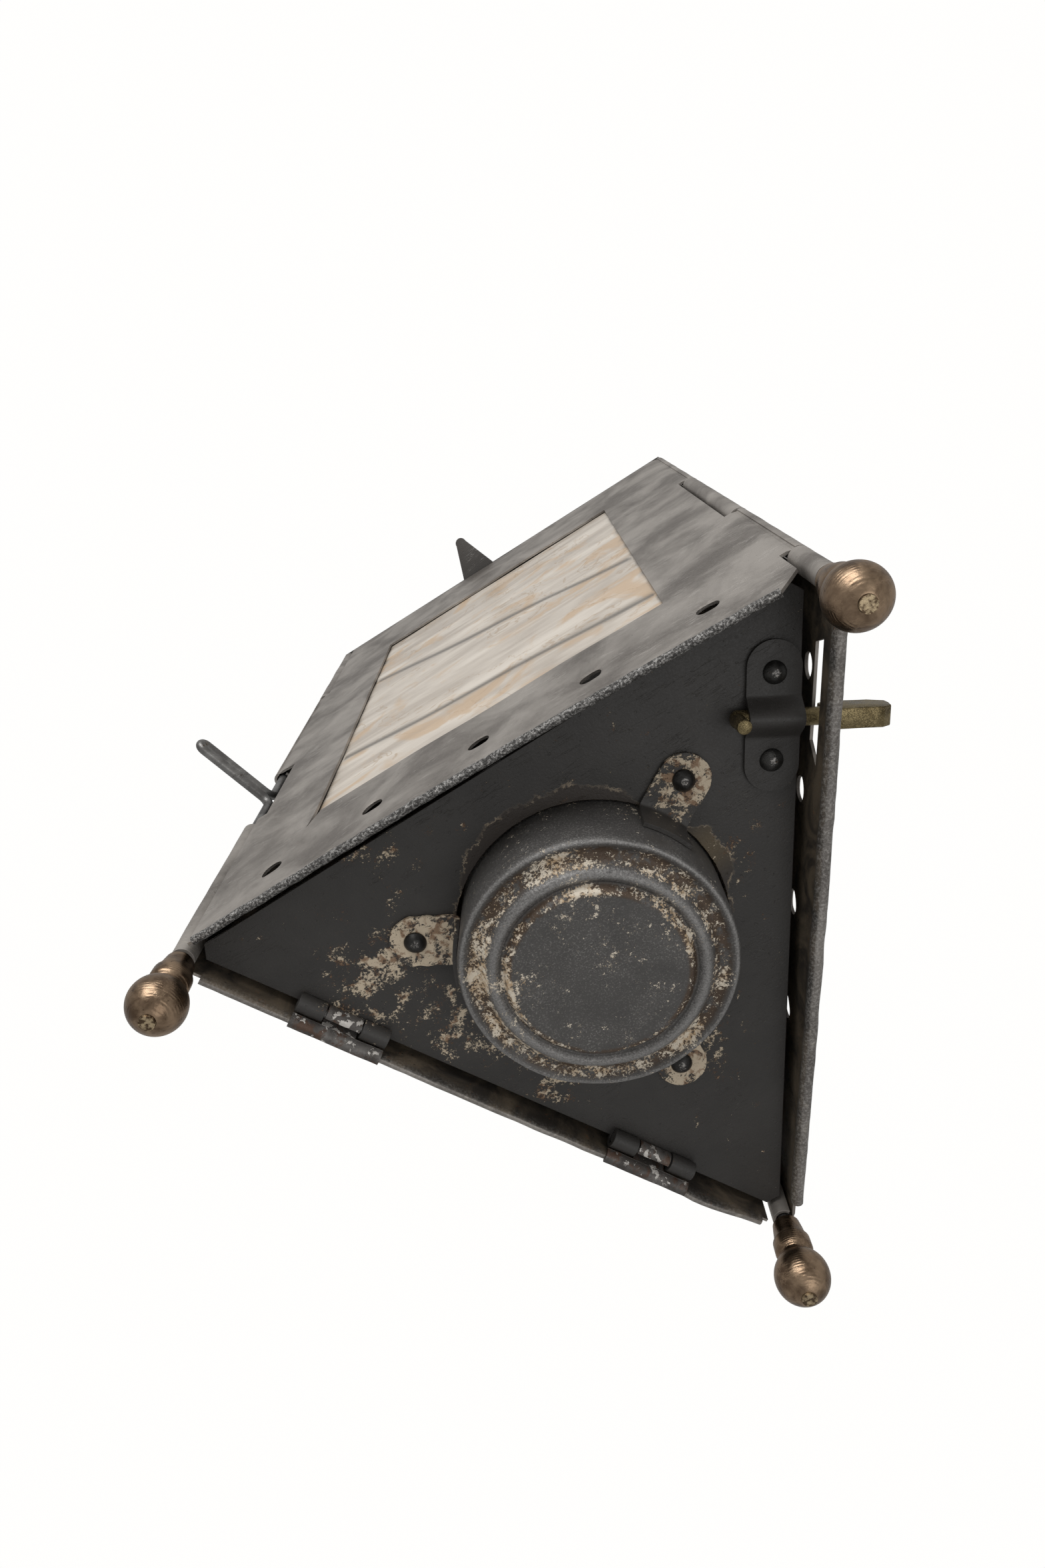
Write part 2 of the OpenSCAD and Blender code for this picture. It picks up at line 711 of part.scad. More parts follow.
// The bolt: a peg to turn it by at the inner end, a flat paddle across the slot at the outer end
module latch_bolt()
    color(brass) on_slope() on_wall(RIGHT) translate([rod_spacing - bolt_at, 0, bolt_z]) {
        translate([0, paddle_y + 1, 0]) rotate([90, 0, 0])
            cylinder(r = bolt_r, h = paddle_y + 1 - peg_y);
        translate([0, peg_y, 0]) sphere(r = bolt_r);
        translate([0, peg_y, -peg_l]) cylinder(r = peg_r, h = peg_l);
        translate([-paddle_t / 2, paddle_y, 0]) rotate([90, 0, 90])
            linear_extrude(paddle_t) polygon([
                [0, -2.1], [1.2, -paddle_half], [paddle_l - 1.6, -paddle_half], [paddle_l, -1.6],
                [paddle_l, 1.6], [paddle_l - 3, paddle_half], [1.2, paddle_half], [0, 2.1],
            ]);
    }

// Top cover: a plate over the walls, hinged on the left wall, with a tongue to lift it by

module on_cover_hinge() on_wall(LEFT) translate([0, cover_axis_y, cover_axis_z]) children();

module cover_tongue()
    on_wall(FRONT) translate([tongue_at, 0, cover_z]) {
        linear_extrude(plate_t)
            polygon([[-6, 1], [6, 1], [tongue_r, tongue_l], [-tongue_r, tongue_l]]);
        translate([0, tongue_l, 0]) cylinder(r = tongue_r, h = plate_t);
    }

module top_cover()
    color(dark_tin) difference() {
        union() {
            lantern_frame() translate([0, 0, cover_z])
                triangle_plate(cover_lap, cover_trim, plate_t);
            on_cover_hinge() outer_knuckles(4, cover_z - cover_axis_z);
            cover_tongue();
        }
        lantern_frame() translate([0, 0, cover_z - 1]) cylinder(r = chimney_r - 2, h = 4, $fn = 72);
        on_cover_hinge() hinge_room(cover_z - cover_axis_z);
    }

module cover_skirt()
    color(dark_tin) lantern_frame() translate([0, 0, cover_z - skirt_h])
        difference() {
            triangle_plate(-skirt_in, base_trim, skirt_h - seat);
            translate([0, 0, -1]) triangle_plate(-skirt_in - sheet_t, base_trim, skirt_h + 2);
        }

module cover_hinge_straps()
    color(tin) on_cover_hinge()
        for (mid = hinge_at) hinge_strap(mid, sheet_out + 2 * seat - cover_axis_y, cover_leaf_h);

module cover_hinge_pins() color(steel) on_cover_hinge() hinge_pins();

// Chimney: a flanged collar with vents, under a cap on three legs

module chimney_collar()
    color(tin) lantern_frame() translate([0, 0, flange_z]) difference() {
        rotate_extrude($fn = 72) translate([chimney_r - sheet_t, 0]) {
            square([sheet_t, chimney_h]);
            square([flange_w, sheet_t]);
        }
        for (turn = [22.5 : 45 : 157.5]) rotate([0, 0, turn]) translate([0, 0, chimney_h / 2])
            rotate([90, 0, 0]) cylinder(r = collar_vent_r, h = 3 * chimney_r, center = true);
    }

module chimney_cap()
    color(dark_tin) lantern_frame() difference() {
        union() {
            intersection() {
                translate([0, 0, cap_ball_z]) sphere(r = cap_ball, $fn = 96);
                translate([0, 0, cap_z]) cylinder(r = cap_r + 5, h = cap_rise + 1);
            }
            translate([0, 0, cap_z]) rotate_extrude($fn = 96)
                translate([cap_r - sheet_t, 0]) circle(r = bead_r, $fn = 24);
        }
        translate([0, 0, cap_ball_z]) sphere(r = cap_ball - sheet_t, $fn = 96);
        translate([0, 0, cap_z - 2]) cylinder(r = cap_r - 2.4, h = 3, $fn = 72);
        for (side = [-1, 1]) translate([side * eye_r, 0, cap_z])
            cylinder(r = rod_r + pin_fit, h = cap_rise + 2);
    }

module cap_legs() {
    foot_z = flange_z + 3;
    color(tin) lantern_frame() each_third() difference() {
        translate([chimney_r + 2 * seat, -leg_w / 2, foot_z])
            cube([sheet_t, leg_w, cap_z + 6 - foot_z]);
        translate([0, 0, cap_ball_z]) difference() {
            cylinder(r = 2 * cap_r, h = 2 * cap_ball);
            sphere(r = cap_ball - sheet_t - seat, $fn = 96);
        }
    }
}

// A staple of wire through the top of the cap, and the ring that hangs in it
module cap_eye() {
    foot_z = cap_top_z - 2;
    color(steel) lantern_frame() {
        translate([0, 0, eye_z]) wire_bend(eye_r, 0, 180);
        for (side = [-1, 1]) translate([side * eye_r, 0, foot_z])
            cylinder(r = rod_r, h = eye_z - foot_z, $fn = 32);
    }
}

module hanging_ring()
    color(steel) lantern_frame() translate([0, 0, eye_z])
        rotate([0, ring_lie, 0]) translate([ring_r, 0, 0])
            rotate_extrude($fn = 96) translate([ring_r, 0]) circle(r = rod_r, $fn = 24);

front_wall();
right_wall();
left_wall();
hem_wire_front();
hem_wire_right();
hem_wire_left();
rod_right();
rod_left();
rod_back();
ball_foot_right();
ball_foot_left();
ball_foot_back();
front_pane();
right_pane();
front_pane_channel();
right_pane_channel();
base_plate();
base_hinge_straps();
base_hinge_pins();
cup();
cup_ears();
ear_rivets();
candle_socket();
candle();
wick();
latch_bracket();
latch_rivets();
latch_bolt();
top_cover();
cover_skirt();
cover_hinge_straps();
cover_hinge_pins();
chimney_collar();
chimney_cap();
cap_legs();
cap_eye();
hanging_ring();
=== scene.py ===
"""Looks of the folding candle lantern: bent tin walls, mica panes, a stamped cup and turned brass feet."""
import json
import math

import bpy
import numpy as np
from mathutils import Matrix, Vector


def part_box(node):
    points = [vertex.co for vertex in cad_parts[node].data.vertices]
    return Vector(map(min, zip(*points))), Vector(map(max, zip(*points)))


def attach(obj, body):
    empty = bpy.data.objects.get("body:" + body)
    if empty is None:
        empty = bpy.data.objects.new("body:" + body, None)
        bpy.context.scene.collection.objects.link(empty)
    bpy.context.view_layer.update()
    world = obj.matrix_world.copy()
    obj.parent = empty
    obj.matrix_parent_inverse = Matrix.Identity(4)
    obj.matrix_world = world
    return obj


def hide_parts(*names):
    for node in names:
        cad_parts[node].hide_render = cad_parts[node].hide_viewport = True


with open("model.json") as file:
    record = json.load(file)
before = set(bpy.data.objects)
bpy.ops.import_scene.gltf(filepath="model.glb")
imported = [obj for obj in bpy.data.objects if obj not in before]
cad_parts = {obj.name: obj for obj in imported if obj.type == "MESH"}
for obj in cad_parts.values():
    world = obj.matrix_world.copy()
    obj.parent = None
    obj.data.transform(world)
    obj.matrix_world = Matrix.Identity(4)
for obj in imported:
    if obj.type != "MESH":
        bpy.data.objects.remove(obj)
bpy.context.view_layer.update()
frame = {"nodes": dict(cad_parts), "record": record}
MM = 0.001

# ---------------------------------------------------------------- places taken from the frame


def middle(node):
    """Middle of a node's box, in millimetres."""
    low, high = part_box(node)
    return (np.array(low) + np.array(high)) / 2 / MM


def low_z(node):
    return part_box(node)[0].z / MM


def high_z(node):
    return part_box(node)[1].z / MM


CORNERS = np.array([middle("ball_foot_" + side)[:2] for side in ("right", "left", "back")])
AXIS = CORNERS.mean(0)
ROD_GAP = float(np.linalg.norm(CORNERS[0] - CORNERS[1]))
FRONT, LEFT, RIGHT = 0, 1, 2
RIM_Z = low_z("left_wall")
TOP_Z = high_z("left_wall")
WALL_H = TOP_Z - RIM_Z
HINGE_Y, HINGE_Z = -0.7, float(middle("base_hinge_pins")[2])
SLOPE = math.radians(5)
BASE_Z = HINGE_Z + 1.0
BOLT_Z = BASE_Z - 1.56
SLOT_Z = HINGE_Z + 83.87 * math.sin(SLOPE) + (BOLT_Z - HINGE_Z) * math.cos(SLOPE)
SHEET = 0.6
SHEET_MID = 1.7


def wall_frame(k):
    """First rod of wall k, the direction along it and the direction out of it."""
    start = CORNERS[k]
    along = CORNERS[(k + 1) % 3] - start
    along = along / np.linalg.norm(along)
    out = start + along * ROD_GAP / 2 - AXIS
    return start, along, out / np.linalg.norm(out)


def on_wall(k, x, y, z):
    """Points given along, out of and up wall k, from its first rod at the ground, as row frame points."""
    start, along, out = wall_frame(k)
    x, y, z = np.broadcast_arrays(x, y, z)
    flat = start + x[..., None] * along + y[..., None] * out
    return np.concatenate([flat, z[..., None]], -1)


def round_axis(r, turn, z):
    """Points at radius r and angle turn about the lantern's axis, at height z."""
    r, turn, z = np.broadcast_arrays(r, turn, z)
    return np.stack([AXIS[0] + r * np.cos(turn), AXIS[1] + r * np.sin(turn), z], -1)


def on_slope(points):
    """Tips points of a level base plate about its hinge, along the left wall, up to the plate's slope."""
    start, _, out = wall_frame(LEFT)
    away = -(points[..., :2] - start) @ out + HINGE_Y
    above = points[..., 2] - HINGE_Z
    moved = away * math.cos(SLOPE) - above * math.sin(SLOPE)
    flat = points[..., :2] - (moved - away)[..., None] * out
    z = HINGE_Z + away * math.sin(SLOPE) + above * math.cos(SLOPE)
    return np.concatenate([flat, z[..., None]], -1)


def lifted(points):
    """Raises points by the slope of the base plate under them, and leaves them upright."""
    start, _, out = wall_frame(LEFT)
    away = -(points[..., :2] - start) @ out + HINGE_Y
    return np.concatenate([points[..., :2], (points[..., 2] + away * math.tan(SLOPE) - 0.05)[..., None]], -1)


# ---------------------------------------------------------------- shaping


def ripple(seed, size, *axes):
    """Smooth unevenness from -1 to 1: seven sine waves, in seeded directions, about size long."""
    luck = np.random.default_rng(seed)
    total = 0
    for _ in range(7):
        way = luck.normal(size=len(axes))
        way /= np.linalg.norm(way) * size * luck.uniform(0.6, 1.7) / (2 * math.pi)
        total = total + np.sin(sum(w * a for w, a in zip(way, axes)) + luck.uniform(0, 6.3))
    return total / 4.2


def smooth(a, b, x):
    """0 before a, 1 after b, and an even S between them."""
    t = np.clip((x - a) / (b - a), 0, 1)
    return t * t * (3 - 2 * t)


def lines(stops, step):
    """Every stop, with even steps no longer than step between two of them."""
    stops = np.unique(np.round(stops, 4))
    runs = [
        np.linspace(a, b, max(1, math.ceil((b - a) / step - 1e-6)) + 1)[:-1]
        for a, b in zip(stops[:-1], stops[1:])
    ]
    return np.concatenate(runs + [stops[-1:]])


def between(values, low, high):
    return values[(values > low - 1e-4) & (values < high + 1e-4)]


def grid_quads(rows, columns, closed=False):
    """Quads of a grid of points, row by row; closed joins the last column to the first."""
    i = np.arange(rows - 1)[:, None]
    j = np.arange(columns if closed else columns - 1)[None, :]
    k = (j + 1) % columns
    return np.stack(
        np.broadcast_arrays(i * columns + j, i * columns + k, (i + 1) * columns + k, (i + 1) * columns + j), -1
    ).reshape(-1, 4)


class Skin:
    """Collects grids of points, in millimetres, that make one piece."""

    def __init__(self):
        self.points, self.quads, self.marks, self.count = [], [], [], 0

    def add(self, points, keep=None, closed=False, mark=0.0, flip=False):
        """points is a grid, rows by columns by 3; keep says which of its cells are there."""
        rows, columns = points.shape[:2]
        quads = grid_quads(rows, columns, closed)
        if keep is not None:
            quads = quads[keep.ravel()]
        self.points.append(points.reshape(-1, 3))
        self.marks.append(np.broadcast_to(mark, (rows, columns)).reshape(-1))
        self.quads.append((quads[:, ::-1] if flip else quads) + self.count)
        self.count += rows * columns

    def piece(self, name, body, material, sheet=0.0, soften=0.0, sharp=40, replaces=()):
        """Welds the grids, drops edges of no length, and gives the sheet its thickness."""
        points = np.concatenate(self.points)
        marks = np.concatenate(self.marks)
        quads = np.concatenate(self.quads)
        _, first, twin = np.unique(np.round(points, 3), axis=0, return_index=True, return_inverse=True)
        quads = twin.reshape(-1)[quads]
        points, marks = points[first], marks[first]
        same = quads == np.roll(quads, -1, axis=1)
        whole = quads[same.sum(1) == 0]
        bent = quads[same.sum(1) == 1]
        drop = np.argmax(same[same.sum(1) == 1], axis=1)
        corners = (drop[:, None] + np.arange(1, 4)) % 4
        thirds = np.take_along_axis(bent, corners, axis=1)
        whole = whole[(whole[:, 0] != whole[:, 2]) & (whole[:, 1] != whole[:, 3])]
        thirds = thirds[(thirds[:, 0] != thirds[:, 2])]
        used = np.unique(np.concatenate([whole.ravel(), thirds.ravel()]))
        number = np.zeros(len(points), int)
        number[used] = np.arange(len(used))
        mesh = bpy.data.meshes.new(name)
        mesh.from_pydata((points[used] * MM).tolist(), [], number[whole].tolist() + number[thirds].tolist())
        mesh.attributes.new("mark", "FLOAT", "POINT").data.foreach_set("value", marks[used].astype(np.float32))
        mesh.polygons.foreach_set("use_smooth", np.ones(len(mesh.polygons), bool))
        if sharp:
            mesh.set_sharp_from_angle(angle=math.radians(sharp))
        mesh.validate()
        made = bpy.data.objects.new(name, mesh)
        bpy.context.scene.collection.objects.link(made)
        if sheet:
            shell = made.modifiers.new("thickness", "SOLIDIFY")
            shell.thickness, shell.offset = sheet * MM, 0
        if soften:
            edge = made.modifiers.new("worn edges", "BEVEL")
            edge.width, edge.segments, edge.limit_method = soften * MM, 2, "ANGLE"
            edge.angle_limit, edge.harden_normals = math.radians(45), True
        mesh.materials.append(material)
        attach(made, body)
        if replaces:
            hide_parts(*replaces)
        return made


def turned(skin, centre, radii, heights, around=96, uneven=0.0, seed=1, mark=0.0, tip=lambda points: points):
    """A turned form: a line of radii and heights carried round an upright axis through centre."""
    turn = np.linspace(0, 2 * math.pi, around, endpoint=False)[None, :]
    r, z = np.asarray(radii, float)[:, None], np.asarray(heights, float)[:, None]
    r = r * (1 + uneven * ripple(seed, 2.5, np.cos(turn), np.sin(turn), z / 4))
    x, y, z = np.broadcast_arrays(centre[0] + r * np.cos(turn), centre[1] + r * np.sin(turn), z)
    skin.add(tip(np.stack([x, y, z], -1)), closed=True, mark=mark if np.isscalar(mark) else np.asarray(mark)[:, None])


def tube(skin, path, radius, around=20, mark=0.0):
    """A round bar: circles carried along a path of points, closed at both ends by shrinking circles."""
    path = np.asarray(path, float)
    radius = np.broadcast_to(radius, len(path)).astype(float)
    ahead = np.gradient(path, axis=0)
    ahead /= np.linalg.norm(ahead, axis=1, keepdims=True)
    side = np.cross(ahead, [0.31, 0.52, 0.79])
    side /= np.linalg.norm(side, axis=1, keepdims=True)
    other = np.cross(ahead, side)
    turn = np.linspace(0, 2 * math.pi, around, endpoint=False)
    ring = (
        path[:, None]
        + radius[:, None, None] * (np.cos(turn)[:, None] * side[:, None] + np.sin(turn)[:, None] * other[:, None])
    )
    first, last = np.repeat(path[None, :1], around, 1), np.repeat(path[None, -1:], around, 1)
    skin.add(np.concatenate([first, ring, last]), closed=True, mark=mark)


def soft_line(points, per=8):
    """A smooth line through the points, by cubic Hermite pieces with the slope of the neighbours."""
    p = np.asarray(points, float)
    slope = np.gradient(p, axis=0)
    t = np.linspace(0, 1, per, endpoint=False)[None, :, None]
    a, b, u, v = p[:-1, None], p[1:, None], slope[:-1, None], slope[1:, None]
    out = (
        (2 * t**3 - 3 * t**2 + 1) * a + (t**3 - 2 * t**2 + t) * u + (3 * t**2 - 2 * t**3) * b + (t**3 - t**2) * v
    )
    return np.concatenate([out.reshape(-1, p.shape[1]), p[-1:]])


# ---------------------------------------------------------------- finishes


def put(tree, kind, inputs=None, **settings):
    """Adds a node, sets it, and fills its inputs with values or with other sockets."""
    made = tree.nodes.new("ShaderNode" + kind)
    for key, value in settings.items():
        setattr(made, key, value)
    for key, value in (inputs or {}).items():
        socket = made.inputs[key]
        if isinstance(value, bpy.types.NodeSocket):
            tree.links.new(value, socket)
        else:
            socket.default_value = value
    return made


def math_of(tree, operation, *values, clamp=False):
    made = put(tree, "Math", dict(enumerate(values)), operation=operation, use_clamp=clamp)
    return made.outputs[0]


def times(tree, a, b):
    return math_of(tree, "MULTIPLY", a, b)


def ramp(tree, value, low, high, start=0.0, end=1.0, kind="SMOOTHSTEP"):
    made = put(
        tree, "MapRange",
        {"Value": value, "From Min": low, "From Max": high, "To Min": start, "To Max": end},
        interpolation_type=kind,
    )
    return made.outputs["Result"]


def blend(tree, share, a, b, how="MIX"):
    """Mixes two colours by a share."""
    made = put(tree, "Mix", data_type="RGBA", blend_type=how)
    for key, value in ((0, share), (6, a), (7, b)):
        if isinstance(value, bpy.types.NodeSocket):
            tree.links.new(value, made.inputs[key])
        elif key == 0:
            made.inputs[key].default_value = value
        else:
            made.inputs[key].default_value = (*value, 1)
    return made.outputs[2]


def in_mm(tree, place):
    """A place in metres, as millimetres."""
    return put(tree, "VectorMath", {0: place, 1: (1000, 1000, 1000)}, operation="MULTIPLY").outputs[0]


def noise(tree, where, scale, detail=3.0, rough=0.55, warp=0.0):
    return put(
        tree, "TexNoise",
        {"Vector": where, "Scale": scale, "Detail": detail, "Roughness": rough, "Distortion": warp},
    ).outputs["Fac"]


def new_effect(name, ins, outs):
    """An empty node group with named inputs and outputs."""
    tree = bpy.data.node_groups.new(name, "ShaderNodeTree")
    for key, kind, default in ins:
        socket = tree.interface.new_socket(key, in_out="INPUT", socket_type="NodeSocket" + kind)
        if default is not None:
            socket.default_value = default
    for key, kind in outs:
        tree.interface.new_socket(key, in_out="OUTPUT", socket_type="NodeSocket" + kind)
    return tree, tree.nodes.new("NodeGroupInput").outputs, tree.nodes.new("NodeGroupOutput").inputs


def fill(tree, out, **values):
    """Joins values to a node group's outputs by name."""
    for key, value in values.items():
        tree.links.new(value, out[key])
    return tree


def make_old_metal():
    """Handled sheet metal: broad clouding, fine grain, thin scratches and small dark pits, in millimetres."""
    tree, given, out = new_effect(
        "old metal",
        [("Place", "Vector", None), ("Cloud size", "Float", 14.0), ("Scratch width", "Float", 0.012)],
        [("Cloud", "Float"), ("Grain", "Float"), ("Scratches", "Float"), ("Pits", "Float"), ("Height", "Float")],
    )
    mm = in_mm(tree, given["Place"])
    cloud_scale = math_of(tree, "DIVIDE", 1.0, given["Cloud size"])
    cloud = noise(tree, mm, cloud_scale, 5, 0.6, 0.4)
    grain = noise(tree, mm, 2.6, 3, 0.65)
    total = 0.0
    for turn, size in (((0.3, 0.2, 0.5), 0.05), ((0.9, 1.1, 0.1), 0.07), ((0.1, 0.6, 1.2), 0.045)):
        thin = put(tree, "Mapping", {"Vector": mm, "Rotation": turn, "Scale": (size, 0.55, 0.55)})
        wave = noise(tree, thin.outputs[0], 1.0, 4, 0.6, 0.2)
        off = math_of(tree, "ABSOLUTE", math_of(tree, "SUBTRACT", wave, 0.5))
        line = math_of(tree, "SUBTRACT", 1.0, math_of(tree, "DIVIDE", off, given["Scratch width"]), clamp=True)
        rare = ramp(tree, noise(tree, mm, 0.11 + size, 2), 0.5, 0.68)
        total = math_of(tree, "MAXIMUM", times(tree, line, rare), total)
    pits = ramp(tree, noise(tree, mm, 1.1, 2, 0.5), 0.68, 0.76)
    height = math_of(
        tree, "ADD", times(tree, grain, 0.5),
        math_of(tree, "SUBTRACT", times(tree, cloud, 0.7), times(tree, pits, 0.5)),
    )
    height = math_of(tree, "SUBTRACT", height, times(tree, total, 0.35))
    return fill(tree, out, Cloud=cloud, Grain=grain, Scratches=total, Pits=pits, Height=height)


def make_chips():
    """Flaked paint: ragged islands where broad and fine noise, lifted by Region, pass a threshold."""
    tree, given, out = new_effect(
        "paint chips",
        [("Place", "Vector", None), ("Region", "Float", 0.0), ("Size", "Float", 3.5)],
        [("Chips", "Float"), ("Rust", "Float"), ("Dust", "Float")],
    )
    mm = in_mm(tree, given["Place"])
    scale = math_of(tree, "DIVIDE", 1.0, given["Size"])
    broad = noise(tree, mm, scale, 3, 0.6, 0.3)
    ragged = noise(tree, mm, 1.9, 5, 0.8)
    sum_ = math_of(tree, "ADD", times(tree, broad, 0.5), times(tree, ragged, 0.5))
    level = math_of(tree, "ADD", sum_, given["Region"])
    chips = ramp(tree, level, 0.635, 0.66)
    rust = math_of(
        tree, "MULTIPLY", ramp(tree, level, 0.6, 0.66),
        ramp(tree, noise(tree, mm, 0.55, 4, 0.6, 0.5), 0.5, 0.62),
    )
    dust = ramp(tree, noise(tree, mm, 3.4, 3, 0.7), 0.64, 0.72)
    return fill(tree, out, Chips=chips, Rust=rust, Dust=dust)


OLD_METAL = make_old_metal()
CHIPS = make_chips()
CREAM = (0.60, 0.50, 0.37)
RUST = (0.16, 0.066, 0.022)
NO_FLAKES = -0.2


class Finish:
    """A material with one Principled shader, its place in Object coordinates and the shared effects."""

    def __init__(self, name, cloud=14.0, scratch=0.012, **shader):
        self.made = bpy.data.materials.new(name)
        self.made.use_nodes = True
        self.tree = self.made.node_tree
        self.shader = self.tree.nodes["Principled BSDF"]
        for key, value in shader.items():
            self.shader.inputs[key.replace("_", " ")].default_value = value
        coordinates = put(self.tree, "TexCoord")
        self.place, self.facing = coordinates.outputs["Object"], coordinates.outputs["Normal"]
        self.mm = in_mm(self.tree, self.place)
        self.metal = put(self.tree, "Group", node_tree=OLD_METAL)
        self.tree.links.new(self.place, self.metal.inputs["Place"])
        self.metal.inputs["Cloud size"].default_value = cloud
        self.metal.inputs["Scratch width"].default_value = scratch
        self.axes = put(self.tree, "SeparateXYZ", {0: self.mm}).outputs

    def lay(self, under, over, share, strength=None):
        """Lays a colour over another, by a share times a strength."""
        if strength is not None:
            share = times(self.tree, share, strength)
        return blend(self.tree, share, under, over)

    def grain(self, key):
        return self.metal.outputs[key]

    def chips(self, region, size=3.5):
        made = put(self.tree, "Group", node_tree=CHIPS)
        self.tree.links.new(self.place, made.inputs["Place"])
        made.inputs["Size"].default_value = size
        if isinstance(region, bpy.types.NodeSocket):
            self.tree.links.new(region, made.inputs["Region"])
        else:
            made.inputs["Region"].default_value = region
        return made.outputs

    def mark(self):
        return put(self.tree, "Attribute", attribute_name="mark").outputs["Fac"]

    def near(self, point, radius, strength):
        """A share that is strength at a point, in millimetres, and 0 from radius outwards."""
        away = put(self.tree, "VectorMath", {0: self.mm, 1: tuple(point)}, operation="DISTANCE").outputs["Value"]
        return ramp(self.tree, away, 0.0, radius, strength, 0.0)

    def total(self, *values):
        out = values[0]
        for value in values[1:]:
            out = math_of(self.tree, "ADD", out, value)
        return out

    def radius(self):
        """Distance from the lantern's axis, in millimetres."""
        moved = put(
            self.tree, "VectorMath", {0: self.mm, 1: (-AXIS[0], -AXIS[1], 0)}, operation="ADD"
        ).outputs[0]
        flat = put(self.tree, "VectorMath", {0: moved, 1: (1, 1, 0)}, operation="MULTIPLY").outputs[0]
        return put(self.tree, "VectorMath", {0: flat}, operation="LENGTH").outputs["Value"]

    def done(self, colour, rough, height, depth=0.05, metallic=None):
        """Feeds the shader; depth is how many millimetres the relief's full height stands for."""
        tree, inputs = self.tree, self.shader.inputs
        tree.links.new(colour, inputs["Base Color"])
        tree.links.new(rough, inputs["Roughness"])
        if metallic is not None:
            tree.links.new(metallic, inputs["Metallic"])
        bump = put(tree, "Bump", {"Height": height, "Strength": 1.0, "Distance": depth * MM})
        tree.links.new(bump.outputs[0], inputs["Normal"])
        return self.made


def wall_tin(k):
    """Dull tin, scratched, with a bare sparkling hem. The inner face is brown from heat and damp."""
    f = Finish(f"wall_tin_{k}", cloud=16, scratch=0.010)
    t = f.tree
    colour = f.lay((0.165, 0.146, 0.130), (0.455, 0.42, 0.382), ramp(t, f.grain("Cloud"), 0.3, 0.72))
    colour = f.lay(colour, (0.37, 0.35, 0.33), ramp(t, f.grain("Grain"), 0.3, 0.75, 0.0, 0.3))
    colour = f.lay(colour, (0.62, 0.59, 0.55), f.grain("Scratches"), 0.5)
    colour = f.lay(colour, (0.09, 0.075, 0.06), f.grain("Pits"), 0.35)
    # cream and bare streaks along the lower edge
    low = ramp(t, f.axes["Z"], RIM_Z + 3.0, RIM_Z + 9.0, 1.0, 0.0)
    streak = put(t, "Mapping", {"Vector": f.mm, "Scale": (0.22, 0.22, 1.3)})
    streaks = ramp(t, noise(t, streak.outputs[0], 1.6, 5, 0.75), 0.56, 0.66)
    colour = f.lay(colour, (0.60, 0.55, 0.47), times(t, streaks, low), 0.55)
    # the inner face
    _, _, out = wall_frame(k)
    inwards = put(t, "VectorMath", {0: f.facing, 1: (-out[0], -out[1], 0)}, operation="DOT_PRODUCT")
    inner = ramp(t, inwards.outputs["Value"], 0.35, 0.7)
    stain = ramp(t, noise(t, f.mm, 0.09, 5, 0.65, 0.8), 0.38, 0.62)
    brown = f.lay((0.040, 0.034, 0.028), (0.155, 0.122, 0.085), stain)
    brown = f.lay(brown, (0.22, 0.10, 0.04), f.chips(0.02, 2.5)["Rust"])
    brown = f.lay(brown, (0.012, 0.011, 0.010), f.grain("Pits"), 0.7)
    inner = times(t, inner, ramp(t, f.mark(), -0.6, -0.1))
    colour = f.lay(colour, brown, inner)
    # bare metal on the hem
    hem = ramp(t, f.mark(), 0, 1, kind="LINEAR")
    beaten = noise(t, f.mm, 2.1, 4, 0.75)
    bare = f.lay((0.060, 0.057, 0.054), (0.50, 0.485, 0.465), ramp(t, beaten, 0.42, 0.68))
    colour = f.lay(colour, bare, hem)
    rough = ramp(t, f.grain("Grain"), 0.2, 0.8, 0.44, 0.62)
    rough = math_of(t, "SUBTRACT", rough, times(t, hem, ramp(t, beaten, 0.4, 0.62, 0.05, 0.24)))
    metal = ramp(t, math_of(t, "SUBTRACT", inner, hem), 0.0, 1.0, 0.62, 0.12)
    height = f.total(times(t, f.grain("Height"), 0.5), times(t, times(t, beaten, hem), 2.6))
    return f.done(colour, rough, height, 0.11, metal)


